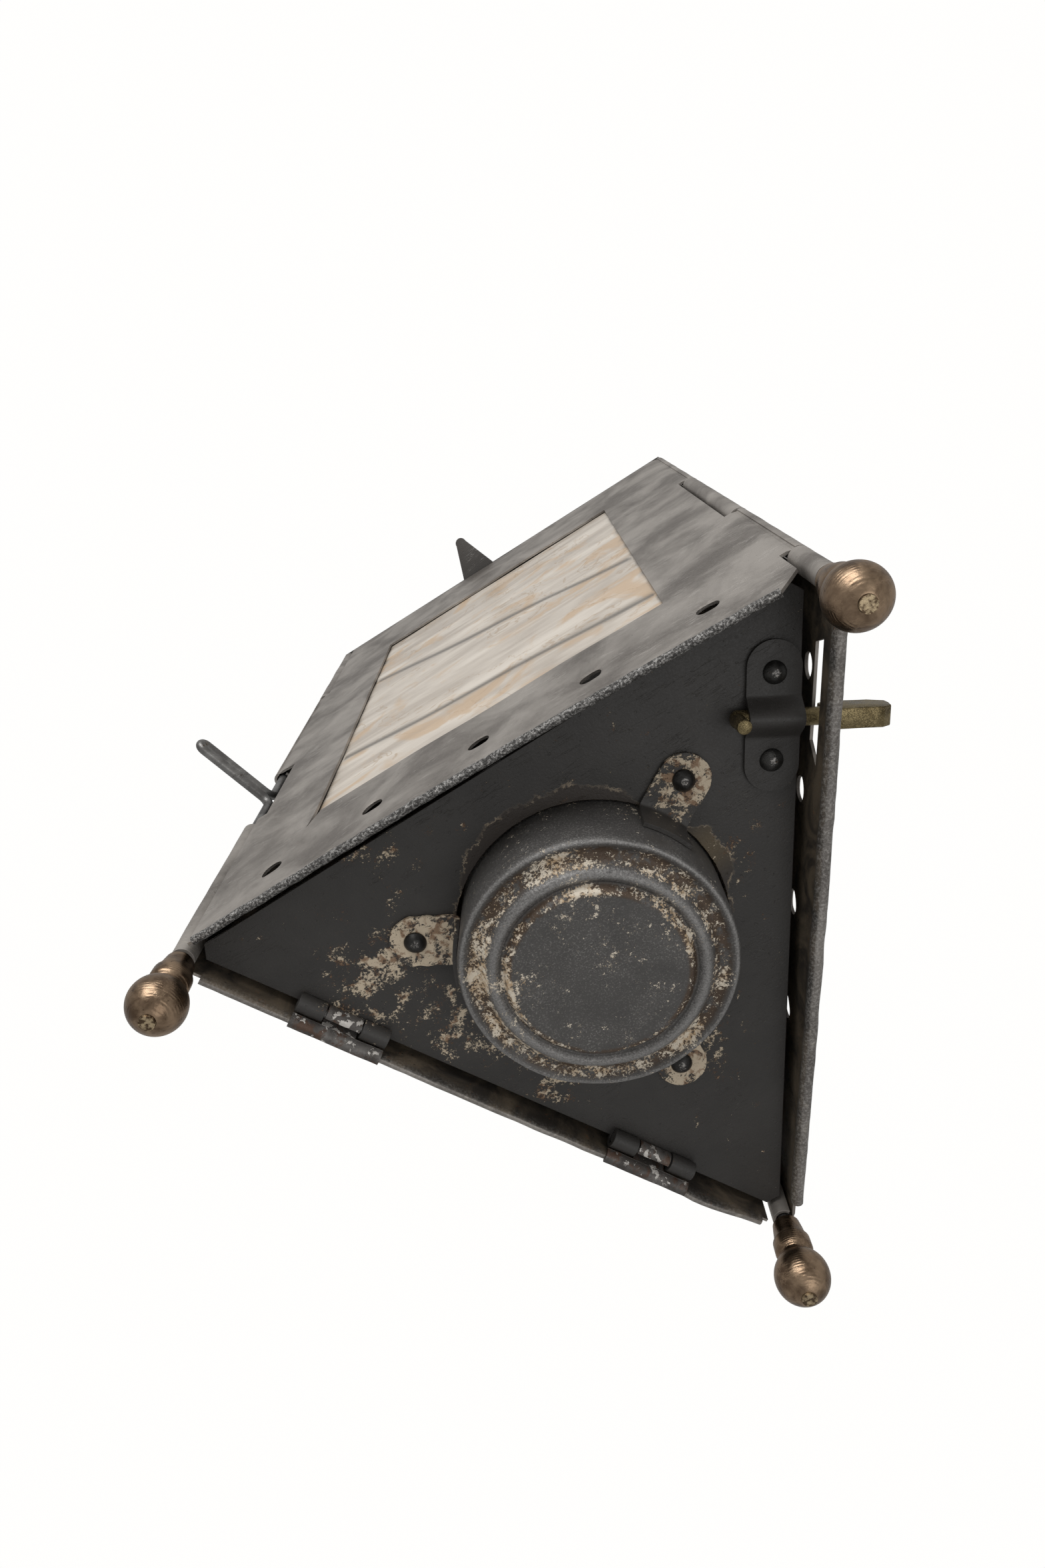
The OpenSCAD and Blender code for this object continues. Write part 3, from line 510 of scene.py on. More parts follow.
def blackened_tin(name, regions, band=False, size=3.5, tone=1.0):
    """Tin under old black paint, flaked down to a cream undercoat with rust between, most of it near the regions."""
    f = Finish(name, cloud=9, scratch=0.007)
    t = f.tree
    dark = tuple(c * tone for c in (0.0215, 0.0195, 0.018))
    light = tuple(c * tone for c in (0.050, 0.046, 0.042))
    colour = f.lay(dark, light, f.grain("Cloud"))
    colour = f.lay(colour, tuple(1.7 * c for c in light), ramp(t, f.grain("Grain"), 0.5, 0.9, 0.0, 0.4))
    colour = f.lay(colour, (0.16, 0.15, 0.14), f.grain("Scratches"), 0.3)
    chips = f.chips(f.total(*[f.near(*region) for region in regions]) if regions else NO_FLAKES, size)
    if band:
        bare = f.total(f.mark(), ramp(t, noise(t, f.mm, 1.4, 4, 0.7), 0.2, 0.8, -0.6, 0.6))
        olive = f.near(on_plate(CUP_R + 1.5, -6), 7.0, 1.0)
        brown = f.lay((0.036, 0.027, 0.021), (0.115, 0.085, 0.045), olive)
        colour = f.lay(colour, brown, ramp(t, bare, -0.15, 0.15, 0.92, 0.0))
        line = ramp(t, math_of(t, "ABSOLUTE", bare), 0.05, 0.30, 1.0, 0.0)
        line = times(t, line, ramp(t, noise(t, f.mm, 0.35, 3, 0.6), 0.42, 0.6, 0.12, 0.8))
        colour = f.lay(colour, (0.30, 0.24, 0.17), line)
    colour = f.lay(colour, CREAM, chips["Chips"])
    colour = f.lay(colour, RUST, chips["Rust"], 0.75)
    colour = f.lay(colour, (0.07, 0.055, 0.04), chips["Dust"], chips["Chips"])
    rough = f.total(ramp(t, f.grain("Grain"), 0.25, 0.8, 0.42, 0.60), times(t, chips["Chips"], 0.25))
    return f.done(colour, rough, math_of(t, "SUBTRACT", f.grain("Height"), times(t, chips["Chips"], 0.6)), 0.10)


def stamped_cup():
    """The cup's old black, bare and speckled on its ridges (mark 1), cream and rust in its grooves (mark 0)."""
    f = Finish("cup_tin", cloud=7, scratch=0.006, Metallic=0.35)
    t = f.tree
    r, mark = f.radius(), f.mark()
    colour = f.lay((0.062, 0.059, 0.057), (0.125, 0.119, 0.113), f.grain("Cloud"))
    speck = noise(t, f.mm, 3.3, 3, 0.75)
    patch = ramp(t, noise(t, f.mm, 0.14, 3, 0.55, 0.5), 0.30, 0.66, 0.35, 1.0)
    colour = f.lay(colour, (0.40, 0.385, 0.365), times(t, ramp(t, speck, 0.52, 0.66), patch), 0.45)
    ridge = ramp(t, f.total(mark, times(t, speck, 0.7)), 0.98, 1.38)
    colour = f.lay(colour, (0.40, 0.39, 0.38), ridge, 0.8)

    def ring(at, half):
        """A share that is 1 at a radius and falls to 0 over half a width."""
        off = math_of(t, "ABSOLUTE", math_of(t, "SUBTRACT", r, at))
        return ramp(t, off, half * 0.35, half, 1.0, 0.0)

    groove, brink, shoulder = ring(20.0, 1.9), ring(14.9, 1.1), ring(18.5, 0.6)
    worn = noise(t, f.mm, 0.11, 3, 0.6)
    broken = noise(t, f.mm, 0.55, 4, 0.7)
    rust = times(t, math_of(t, "MAXIMUM", groove, brink), ramp(t, noise(t, f.mm, 0.35, 4, 0.65), 0.40, 0.52))
    colour = f.lay(colour, (0.085, 0.052, 0.030), rust, 0.85)
    lift = times(t, f.total(groove, times(t, brink, 0.95), times(t, shoulder, 0.8)), 0.17)
    patches = times(t, math_of(t, "SUBTRACT", f.total(worn, times(t, broken, 0.9)), 0.97), 0.75)
    cream = ramp(t, f.total(noise(t, f.mm, 2.3, 4, 0.75), lift, patches), 0.655, 0.70)
    colour = f.lay(colour, f.lay((0.50, 0.36, 0.22), (0.74, 0.66, 0.54), ramp(t, broken, 0.4, 0.62)), cream)
    rough = f.total(ramp(t, speck, 0.3, 0.7, 0.36, 0.56), times(t, cream, 0.25))
    metal = math_of(t, "SUBTRACT", ramp(t, ridge, 0, 1, 0.35, 0.9), times(t, cream, 0.6), clamp=True)
    return f.done(colour, rough, f.total(f.grain("Height"), times(t, speck, 0.5), times(t, cream, 0.35)), 0.11, metal)


def old_brass(name, dark, light, turned_rings=0.0, speckle=0.0):
    """Handled brass gone brown: brighter where fingers rub it, with the lathe's rings round it."""
    f = Finish(name, cloud=3.5, scratch=0.02, Metallic=1.0)
    t = f.tree
    colour = f.lay(dark, light, ramp(t, f.grain("Cloud"), 0.3, 0.7))
    colour = f.lay(colour, tuple(min(1, 1.5 * c) for c in light), f.grain("Scratches"), 0.35)
    colour = f.lay(colour, tuple(0.3 * c for c in dark), f.grain("Pits"), 0.5)
    height = times(t, f.grain("Height"), 0.6)
    if turned_rings:
        rings = math_of(t, "SINE", times(t, f.axes["Z"], 14.0))
        rings = times(t, rings, ramp(t, noise(t, f.mm, 0.8, 2), 0.35, 0.65))
        height = f.total(height, times(t, rings, turned_rings))
    if speckle:
        spots = ramp(t, noise(t, f.mm, 4.2, 3, 0.7), 0.50, 0.62)
        colour = f.lay(colour, tuple(min(1, 2.2 * c) for c in light), spots, speckle)
        height = f.total(height, spots)
    return f.done(colour, ramp(t, f.grain("Cloud"), 0.3, 0.75, 0.24, 0.42), height, 0.05)


def dull_steel(name, dark, light, ridge=False, brass_ends=False):
    """Dull steel; a ridge is rubbed bare, and brass ends are the rods' tips, filed with the feet."""
    f = Finish(name, cloud=4, scratch=0.02, Metallic=0.85)
    t = f.tree
    colour = f.lay(dark, light, ramp(t, f.grain("Cloud"), 0.3, 0.7))
    colour = f.lay(colour, (0.07, 0.04, 0.02), f.grain("Pits"), 0.6)
    if ridge:
        bare = ramp(t, f.total(f.mark(), times(t, f.grain("Grain"), 0.9)), 1.36, 1.62)
        colour = f.lay(colour, (0.42, 0.4, 0.38), bare)
    if brass_ends:
        tip = f.lay((0.10, 0.065, 0.038), (0.52, 0.41, 0.26), ramp(t, noise(t, f.mm, 1.3, 3), 0.4, 0.6))
        colour = f.lay(colour, tip, ramp(t, f.axes["Z"], 0.9, 1.1, 1.0, 0.0))
    return f.done(colour, ramp(t, f.grain("Grain"), 0.25, 0.75, 0.30, 0.5), f.grain("Height"), 0.06)


def cloudy_mica():
    """Cloudy mica: layered beige with amber stains, a dark soft line at each crease (mark 1), painted shade along
    the frame (mark -1), where the recessed pane lies in shadow, and a faint crackle."""
    f = Finish("mica", cloud=22, scratch=0.006, IOR=1.58, Coat_Weight=0.25, Coat_Roughness=0.25)
    t = f.tree
    flow = put(t, "Mapping", {"Vector": f.mm, "Scale": (0.028, 0.028, 0.11), "Rotation": (0.0, 0.35, 0.0)})
    layers = noise(t, flow.outputs[0], 1.0, 5, 0.6, 0.5)
    colour = f.lay((0.50, 0.43, 0.355), (0.78, 0.71, 0.62), ramp(t, layers, 0.3, 0.7))
    colour = f.lay(colour, (0.60, 0.40, 0.22), ramp(t, noise(t, f.mm, 0.06, 4, 0.6, 0.7), 0.50, 0.64), 0.7)
    tide = noise(t, f.mm, 0.055, 4, 0.6, 0.7)
    edge = ramp(t, math_of(t, "ABSOLUTE", math_of(t, "SUBTRACT", tide, 0.56)), 0.0, 0.012, 0.5, 0.0)
    colour = f.lay(colour, (0.40, 0.26, 0.13), edge)
    colour = f.lay(colour, (0.075, 0.064, 0.052), f.mark(), 0.88)
    # painted shade: a dark band along the window frame, where the recessed pane lies in shadow
    colour = f.lay(colour, (0.05, 0.042, 0.034), ramp(t, f.mark(), -1.0, 0.0, 0.92, 0.0, "LINEAR"))
    rough = ramp(t, layers, 0.3, 0.7, 0.28, 0.45)
    return f.done(colour, rough, f.total(layers, times(t, f.grain("Height"), 0.15)), 0.25)


def candle_wax():
    """Old wax, a little yellow in clouds."""
    f = Finish("wax", cloud=12, scratch=0.004, Subsurface_Weight=0.25, Subsurface_Radius=(0.004, 0.003, 0.002))
    colour = f.lay((0.74, 0.68, 0.54), (0.86, 0.82, 0.72), f.grain("Cloud"))
    return f.done(colour, ramp(f.tree, f.grain("Grain"), 0.2, 0.8, 0.35, 0.55), f.grain("Height"), 0.08)


def burnt_cotton():
    """Twisted cotton, burnt black at its end."""
    f = Finish("wick_cotton", cloud=1.5)
    t = f.tree
    twist = math_of(t, "SINE", f.total(times(t, f.axes["Z"], 5.0), times(t, f.axes["X"], 5.0)))
    up = ramp(t, f.axes["Z"], high_z("wick") - 9, high_z("wick") - 3)
    colour = f.lay((0.55, 0.5, 0.4), (0.012, 0.011, 0.010), up)
    return f.done(colour, ramp(t, f.grain("Grain"), 0, 1, 0.8, 0.95), f.total(f.grain("Height"), twist), 0.15)


def hinge_tin():
    """Rusty strap with bright solder and bare spots on the rolled part."""
    f = Finish("hinge_tin", cloud=5, scratch=0.02, Metallic=0.45)
    t = f.tree
    colour = f.lay((0.07, 0.062, 0.056), (0.17, 0.16, 0.15), ramp(t, f.grain("Cloud"), 0.35, 0.65))
    colour = f.lay(colour, (0.095, 0.05, 0.03), ramp(t, noise(t, f.mm, 0.4, 4, 0.65, 0.5), 0.5, 0.62), 0.8)
    solder = ramp(t, f.total(noise(t, f.mm, 0.6, 4, 0.6), times(t, f.mark(), 0.12)), 0.64, 0.68)
    colour = f.lay(colour, (0.60, 0.57, 0.53), solder)
    rough = ramp(t, f.grain("Grain"), 0.25, 0.8, 0.35, 0.55)
    return f.done(colour, rough, f.total(f.grain("Height"), times(t, solder, 0.8)), 0.12)


def plain_tin():
    """Tin away from the walls, with a little rust: channels, socket, chimney, legs and cover straps."""
    f = Finish("plain_tin", cloud=10, scratch=0.012, Metallic=0.6)
    colour = f.lay((0.20, 0.188, 0.178), (0.34, 0.325, 0.31), f.grain("Cloud"))
    colour = f.lay(colour, (0.58, 0.55, 0.52), f.grain("Scratches"), 0.5)
    colour = f.lay(colour, (0.17, 0.09, 0.045), f.chips(0.0, 4.0)["Rust"], 0.7)
    colour = f.lay(colour, (0.06, 0.05, 0.04), f.grain("Pits"), 0.5)
    return f.done(colour, ramp(f.tree, f.grain("Grain"), 0.2, 0.8, 0.42, 0.6), f.grain("Height"), 0.1)


def cover_tin():
    """The cover's darker tin, with a few flakes."""
    f = Finish("cover_tin", cloud=16, scratch=0.012, Metallic=0.4)
    colour = f.lay((0.075, 0.070, 0.066), (0.20, 0.19, 0.18), f.grain("Cloud"))
    spots = f.chips(-0.01, 5.0)
    colour = f.lay(colour, (0.33, 0.27, 0.2), spots["Chips"], 0.8)
    colour = f.lay(colour, RUST, spots["Rust"], 0.8)
    colour = f.lay(colour, (0.42, 0.4, 0.38), f.grain("Scratches"), 0.5)
    return f.done(colour, ramp(f.tree, f.grain("Grain"), 0.2, 0.8, 0.4, 0.58), f.grain("Height"), 0.1)


# ---------------------------------------------------------------- the walls

# height of the cut corner beside the right rod
CUT_H = 7.2
RIGHT_CUTS = [0, 18.6, 67.3, WALL_H - 66, WALL_H]
LEFT_CUTS = [0, 53.5, 84.0, WALL_H - 50.5, WALL_H]
BACK_CUTS = [0, WALL_H / 4, WALL_H / 2, WALL_H * 3 / 4, WALL_H]
GAP = 0.4
NOTCH, LOOP_NOTCH = 2.6, 5.0
STILE, SILL, HEAD = 22.2, 31.2, 34.0
# a tear runs down from the window's lower corner
NICK, NICK_H = 1.6, 6.0
VENT_R, VENT_UP, VENT_CELL = 2.2, 14.2, 2.9
VENTS_AT = [16.6 + 21.7 * i for i in range(5)]
# the curls start above the hem's roll, and the flat sheet starts at its top
HEM_FOOT, HEM_TOP = 1.15, 3.4
# each wall's hem: radius of the roll, its place outside the rods, and how bare its metal is
HEMS = {FRONT: (0.45, 1.95, 1.0), LEFT: (0.45, 2.0, 0.2), RIGHT: (0.86, 2.1, 0.45)}
# the bolt's place along the right wall, back from its last rod, and the middle of its bracket, inside the wall
BOLT_AT, BRACKET_Y = 23.5, -4.9


def wall_bow(k, x, z):
    """How far wall k stands out of true: a belly along its rim that fades upwards, and soft dents."""
    held = np.sin(np.clip(x / ROD_GAP, 0, 1) * math.pi)
    dents = 0.16 * ripple(31 + k, 38, x, z) * held
    belly = (0.85, 0.35, 0.25)[k] * held**1.5 * np.exp(-z / 30)
    if k == LEFT:
        belly = belly + 1.1 * np.exp(-(((x - 104) / 7.5) ** 2)) * np.exp(-z / 9)
    return belly + dents * smooth(0, 12, z) + 0.09 * ripple(57 + k, 9, x, z) * np.exp(-z / 5) * held


def wall_sheet(k, body, first_rod, last_rod, window=False, vents=False, slot=False, hem=(4.0, 4.0), replaces=()):
    """A wall: a grid along and up the sheet with the window, vents and slot left out, curled round its rods at both
    sides and rolled at the rim. first_rod and last_rod list (low, high, turn) of each curl and (low, high, depth) of
    each stretch that is cut back."""
    (curls_0, cuts_0), (curls_1, cuts_1) = first_rod, last_rod
    hem_0, hem_1 = hem[0], ROD_GAP - hem[1]
    x_stops = [0, NOTCH, ROD_GAP - NOTCH, ROD_GAP, hem_0, hem_1]
    z_stops = [HEM_FOOT, HEM_TOP, WALL_H]
    for low, high, _ in curls_0 + curls_1:
        z_stops += [low + GAP, high - GAP]
    for low, high, depth in cuts_0 + cuts_1:
        z_stops += [max(low, HEM_FOOT), high]
    x_stops += [d for _, _, d in cuts_0] + [ROD_GAP - d for _, _, d in cuts_1]
    if window:
        x_stops += [STILE, ROD_GAP - STILE]
        z_stops += [SILL, WALL_H - HEAD]
        if k == FRONT:
            x_stops += [ROD_GAP - STILE - NICK]
            z_stops += [SILL - NICK_H]
    if vents:
        x_stops += [at + side * VENT_CELL for at in VENTS_AT for side in (-1, 1)]
        z_stops += [VENT_UP - VENT_CELL, VENT_UP + VENT_CELL]
    slot_low, slot_high = SLOT_Z - RIM_Z - 2.3, SLOT_Z - RIM_Z + 2.2
    slot_far, slot_near = ROD_GAP - BOLT_AT - 8, ROD_GAP - BOLT_AT + 13
    if slot:
        x_stops += [slot_far, slot_near]
        z_stops += [slot_low, slot_high]
    z_stops = [z for z in z_stops if z >= HEM_FOOT]
    xs, zs = lines(x_stops, 2.0), lines(z_stops, 2.2)
    if vents:
        fine = [np.linspace(at - VENT_CELL, at + VENT_CELL, 7) for at in VENTS_AT]
        xs = lines(np.concatenate([between(xs, -1, ROD_GAP + 1)[
            [not any(abs(x - at) < VENT_CELL - 1e-3 for at in VENTS_AT) for x in xs]]] + fine), 2.0)
        up = np.linspace(VENT_UP - VENT_CELL, VENT_UP + VENT_CELL, 7)
        zs = lines(np.concatenate([zs[np.abs(zs - VENT_UP) > VENT_CELL - 1e-3], up]), 2.2)
    z, x = np.meshgrid(zs, xs, indexing="ij")
    cx, cz = (x[:-1, :-1] + x[1:, 1:]) / 2, (z[:-1, :-1] + z[1:, 1:]) / 2
    keep = np.ones(cx.shape, bool)

    def leave_out(x0, x1, z0, z1):
        keep[(cx > x0) & (cx < x1) & (cz > z0) & (cz < z1)] = False

    for side, curls, cuts in ((0, curls_0, cuts_0), (1, curls_1, cuts_1)):
        edge = (-1, NOTCH) if side == 0 else (ROD_GAP - NOTCH, ROD_GAP + 1)
        beside = (cx > edge[0]) & (cx < edge[1])
        held = np.zeros(cx.shape, bool)
        for low, high, _ in curls:
            held |= (cz > low + GAP) & (cz < high - GAP)
        keep[beside & ~held] = False
        for low, high, depth in cuts:
            span = (-1, depth) if side == 0 else (ROD_GAP - depth, ROD_GAP + 1)
            leave_out(*span, low, high)
    leave_out(hem_0, hem_1, 0, HEM_TOP)
    if window:
        leave_out(STILE, ROD_GAP - STILE, SILL, WALL_H - HEAD)
        if k == FRONT:
            leave_out(ROD_GAP - STILE - NICK, ROD_GAP - STILE, SILL - NICK_H, SILL)
    if vents:
        for at in VENTS_AT:
            leave_out(at - VENT_CELL, at + VENT_CELL, VENT_UP - VENT_CELL, VENT_UP + VENT_CELL)
    if slot:
        leave_out(slot_far, slot_near, slot_low, slot_high)

    def bend(x, z):
        """Slants the ends of the slot and the cut corners, then bows the sheet."""
        if slot:
            rise = np.clip((z - slot_low) / (slot_high - slot_low), 0, 1)
            rise = rise * (1 - smooth(slot_high, slot_high + 1.2, z))
            x = x + 3.0 * rise * np.exp(-(((x - slot_far) / 2.2) ** 2))
            x = x - 1.5 * rise * np.exp(-(((x - slot_near) / 2.2) ** 2))
        if k == FRONT:
            corner = ROD_GAP - STILE
            into = np.clip((z - (SILL - NICK_H)) / NICK_H, 0, 1) * (z <= SILL + 1e-3)
            inside = (x > corner - 2.0) & (x < corner + 0.01) & (z >= SILL - NICK_H - 1e-3) & (z <= SILL + 1e-3)
            x = np.where(inside, corner + 0.6 - (corner + 0.6 - x) * into, x)
            if hem_0 > 5:
                cut = np.interp(z, [0, 1.2, CUT_H], [hem_0, hem_0, NOTCH])
                x = np.where(z < CUT_H, np.maximum(x, cut), x)
        return x, SHEET_MID + wall_bow(k, x, z)

    skin = Skin()
    bx, by = bend(x, z)
    skin.add(on_wall(k, bx, by, z + RIM_Z), keep=keep, flip=True)
    if vents:
        ring = np.linspace(-1, 1, 7)
        one = np.ones(7)
        edges = (ring, -one), (one, ring), (-ring, one), (-one, -ring)
        s = np.concatenate([np.stack(edge, -1)[:-1] for edge in edges])
        turn = np.arctan2(s[:, 1], s[:, 0])
        t = np.linspace(0, 1, 4)[:, None]
        for number, at in enumerate(VENTS_AT):
            rough_r = VENT_R * (1 + 0.04 * np.sin(3 * turn + number))
            hx = at + (1 - t) * rough_r * np.cos(turn) + t * VENT_CELL * s[:, 0]
            hz = VENT_UP + (1 - t) * rough_r * np.sin(turn) + t * VENT_CELL * s[:, 1]
            lip = 0.22 * (1 - t) ** 2 * np.ones_like(turn)
            bx, by = bend(hx, hz)
            skin.add(on_wall(k, bx, by - lip, hz + RIM_Z), closed=True)
    for side, curls in ((0, curls_0), (1, curls_1)):
        for low, high, turn_by in curls:
            span = between(zs, max(low + GAP, HEM_FOOT), high - GAP)
            a, zz = np.meshgrid(np.radians(np.linspace(0, turn_by, 26 if turn_by > 120 else 12)), span)
            r = SHEET_MID + 0.1 * smooth(0, 1, a) + 0.05 * ripple(71 + k + side, 11, zz, a * 2) * smooth(0, 1.5, a)
            px = -r * np.sin(a) if side == 0 else ROD_GAP + r * np.sin(a)
            skin.add(on_wall(k, px, r * np.cos(a), zz + RIM_Z), flip=side == 0, mark=-smooth(0, 0.5, a))
    # the rolled hem: the sheet bends in, passes under the wire, comes up outside and turns back to the sheet
    hx = between(xs, hem_0, hem_1)
    roll = np.radians(np.linspace(178, 452, 30))
    r, hem_y, bare = HEMS[k]
    edge_y = hem_y - r
    py = np.concatenate([[SHEET_MID, 0.7 * SHEET_MID + 0.3 * edge_y, 0.25 * SHEET_MID + 0.75 * edge_y],
                         hem_y + r * np.cos(roll)])
    pz = np.concatenate([[HEM_TOP, 2.75, 2.0], r + 0.3 + r * np.sin(roll)])
    shine = np.concatenate([[0.0, 0.0, 0.15 * bare], np.full(30, bare)])
    gx, gy = np.meshgrid(hx, py)
    _, gz = np.meshgrid(hx, pz)
    sag = 0.10 * ripple(91 + k, 6, gx) * (gz < 2.6) + 0.05 * ripple(95 + k, 2.4, gx, gz) * (gz < 2.6)
    skin.add(on_wall(k, gx, gy + wall_bow(k, gx, gz) + sag * 0.6, gz + RIM_Z + sag * 0.5), mark=shine[:, None])
    return skin.piece(body=body, name=replaces[0] + "_sheet", material=wall_tin(k),
                      sheet=SHEET - 0.02, soften=0.10, sharp=0, replaces=replaces)


wall_sheet(
    FRONT, "door",
    ([(RIGHT_CUTS[1], RIGHT_CUTS[2], 96), (RIGHT_CUTS[3], RIGHT_CUTS[4], 96)], []),
    ([(LEFT_CUTS[2], LEFT_CUTS[3], 300)], [(LEFT_CUTS[1], LEFT_CUTS[2], LOOP_NOTCH)]),
    window=True, vents=True, hem=(7.0, 4.0), replaces=("front_wall", "hem_wire_front"),
)
wall_sheet(
    RIGHT, "case",
    ([(BACK_CUTS[0], BACK_CUTS[1], 300), (BACK_CUTS[2], BACK_CUTS[3], 300)], []),
    ([(RIGHT_CUTS[0], RIGHT_CUTS[1], 300), (RIGHT_CUTS[2], RIGHT_CUTS[3], 300)], []),
    window=True, vents=True, slot=True, replaces=("right_wall",),
)
wall_sheet(
    LEFT, "case",
    ([(LEFT_CUTS[0], LEFT_CUTS[1], 300), (LEFT_CUTS[3], LEFT_CUTS[4], 300)],
     [(LEFT_CUTS[1], LEFT_CUTS[2], LOOP_NOTCH)]),
    ([(BACK_CUTS[1], BACK_CUTS[2], 300), (BACK_CUTS[3], BACK_CUTS[4], 300)], []),
    replaces=("left_wall", "hem_wire_left"),
)

# ---------------------------------------------------------------- panes


PANE_LAP = 3


def mica_pane(k, body, name, creases):
    """A pane: a grid along and up it, lifted by soft waves and by a rounded fold along each crease line."""
    span, rise = ROD_GAP - 2 * STILE + 2 * PANE_LAP, WALL_H - SILL - HEAD + 2 * PANE_LAP
    x, z = np.meshgrid(np.linspace(0, span, 90), np.linspace(0, rise, 150))
    fold = np.zeros_like(x)
    for (x0, z0), (x1, z1), width in creases:
        slope = (z1 - z0) / (x1 - x0)
        off = (z - z0 - slope * (x - x0) - 1.2 * ripple(7, 40, x)) / math.sqrt(1 + slope * slope)
        fold = np.maximum(fold, np.exp(-((off / width) ** 2)))
    y = 1.4 - 0.38 + 0.07 * ripple(13 + k, 30, x, z) - 0.12 * fold
    # painted shade of the recess along the frame: mark falls below 0 there
    inset = np.minimum(np.minimum(x, span - x), np.minimum(z, rise - z)) - PANE_LAP
    painted_frame_shade = np.clip((inset - 0.6 - 0.5 * ripple(15 + k, 9, x, z)) / 1.3, -1, 0)
    skin = Skin()
    points = on_wall(k, x + STILE - PANE_LAP, y, z + RIM_Z + SILL - PANE_LAP)
    skin.add(points, mark=fold * (1 + painted_frame_shade) + painted_frame_shade, flip=True)
    return skin.piece(name, body, MICA, sheet=0.3, sharp=0, replaces=(name.replace("_mica", ""),))


MICA = cloudy_mica()
# a crease runs between two points, along and up the pane, and has a width
mica_pane(FRONT, "door", "front_pane_mica", [((9.9, 61.7), (73.7, 93.3), 1.6), ((2.3, 17.0), (76.9, 34.8), 1.5)])
mica_pane(RIGHT, "case", "right_pane_mica", [((4.0, 50.0), (76.0, 66.0), 1.3)])

# ---------------------------------------------------------------- base plate, cup and ears

CUP_R = (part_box("cup")[1].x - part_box("cup")[0].x) / 2 / MM
CUP_LOW = low_z("cup")
EAR_AT = np.radians([-150, -30, 90])
RIVET_R = CUP_R + 7.5
EAR_WIDE = 9.0
CORNER_TRIM = 2.4
CUP_SHEET = 0.65


def plate_edge(turn, out, trim):
    """Distance from the axis to the edge of a trimmed triangle in a given direction."""
    walls = ROD_GAP * math.sqrt(3) / 6 + out
    reach = ROD_GAP / math.sqrt(3) + 2 * out - trim
    sides = [walls / np.maximum(1e-6, np.cos(turn - math.radians(a))) for a in (-90, 30, 150)]
    tips = [reach / np.maximum(1e-6, np.cos(turn - a)) for a in EAR_AT]
    return np.minimum.reduce([np.where(s > 0, s, 1e9) for s in sides + tips])


def base_sheet():
    """The base plate: rings from its ragged hole to its edge, with soft dents, and the curls of its hinge."""
    turn = np.linspace(-math.pi, math.pi, 361)[:-1]
    corner = []
    for a in EAR_AT:
        half = math.atan2(CORNER_TRIM * math.tan(math.radians(30)), ROD_GAP / math.sqrt(3) - 0.8 - CORNER_TRIM)
        corner += [a - half, a + half]
    corner = [(c + math.pi) % (2 * math.pi) - math.pi for c in corner]
    turn = np.unique(np.round(np.concatenate([turn, corner]), 5))
    hole = CUP_R + 0.6 + 0.10 * np.abs(ripple(6, 0.08, turn))
    edge = plate_edge(turn, -0.4, CORNER_TRIM)
    t = np.concatenate([np.linspace(0, 0.3, 16)[:-1], np.linspace(0.3, 1, 16)])[:, None]
    r = hole + t * (edge - hole)
    z = BASE_Z + 0.4 + 0.10 * ripple(9, 26, r * np.cos(turn), r * np.sin(turn)) * (1 - t) * smooth(0, 0.2, t)
    # the black is gone round the hole, up to a ragged line that runs wider on two sides
    wide = smooth(-2.3, -1.9, turn) * (1 - smooth(-0.95, -0.7, turn)) * 2.3
    wide = wide + 2.6 * smooth(-0.34, -0.2, turn) * (1 - smooth(0.05, 0.3, turn))
    bare = r - (CUP_R + 0.9 + wide + 0.5 * ripple(5, 0.3, turn) + 0.2 * ripple(8, 0.07, turn))
    skin = Skin()
    skin.add(on_slope(round_axis(r, turn, z)), closed=True, mark=np.clip(bare, -3, 3))
    for centre in HINGES_AT:
        for side in (-1, 1):
            x0 = centre + side * 6.0
            curl(skin, x0 - 2.5, x0 + 2.5, leaf=(-3.0, BASE_Z + 0.4))
    return skin.piece("base_plate_sheet", "case", PLATE_BLACK, sheet=0.78, soften=0.12, sharp=0,
                      replaces=("base_plate",))


def curl(skin, x0, x1, leaf=None, drop=None):
    """A strip rolled round the base hinge's pin: a leaf of the plate, or a drop of the strap on the wall."""
    if leaf is not None:
        a = np.radians(np.linspace(90, -200, 26))
        py = np.concatenate([[HINGE_Y + leaf[0]], HINGE_Y + 1.35 * np.cos(a)])
        pz = np.concatenate([[leaf[1]], HINGE_Z + 1.35 * np.sin(a)])
    else:
        a = np.radians(np.linspace(0, 270, 26))
        py = np.concatenate([[drop[0], drop[0]], HINGE_Y + 1.35 * np.cos(a)])
        pz = np.concatenate([[HINGE_Z - drop[1], HINGE_Z - 1.0], HINGE_Z + 1.35 * np.sin(a)])
    xs = np.linspace(x0, x1, 8)
    gx, gy = np.meshgrid(xs, py)
    _, gz = np.meshgrid(xs, pz)
    points = on_wall(LEFT, gx, gy + 0.05 * ripple(4, 4, gx, gz), gz)
    skin.add(on_slope(points) if leaf else points, mark=3 if leaf else smooth(-0.4, 0.8, (HINGE_Z - gz) / 1.4))


HINGES_AT = (ROD_GAP / 2 - 31, ROD_GAP / 2 + 31)


def on_plate(r, degrees):
    """A spot on the base plate's underside, by its distance and direction from the axis."""
    return tuple(on_slope(round_axis(r, math.radians(degrees), BASE_Z)))


PLATE_BLACK = blackened_tin(
    "base_tin",
    [(on_plate(37, -160), 19, 0.15), (on_plate(29, 170), 12, 0.13), (on_plate(28, 135), 14, 0.14),
     (on_plate(31, 80), 13, 0.10), (on_plate(29, 0), 9, 0.09), (on_plate(40, -128), 12, 0.09)],
    band=True,
)
base_sheet()


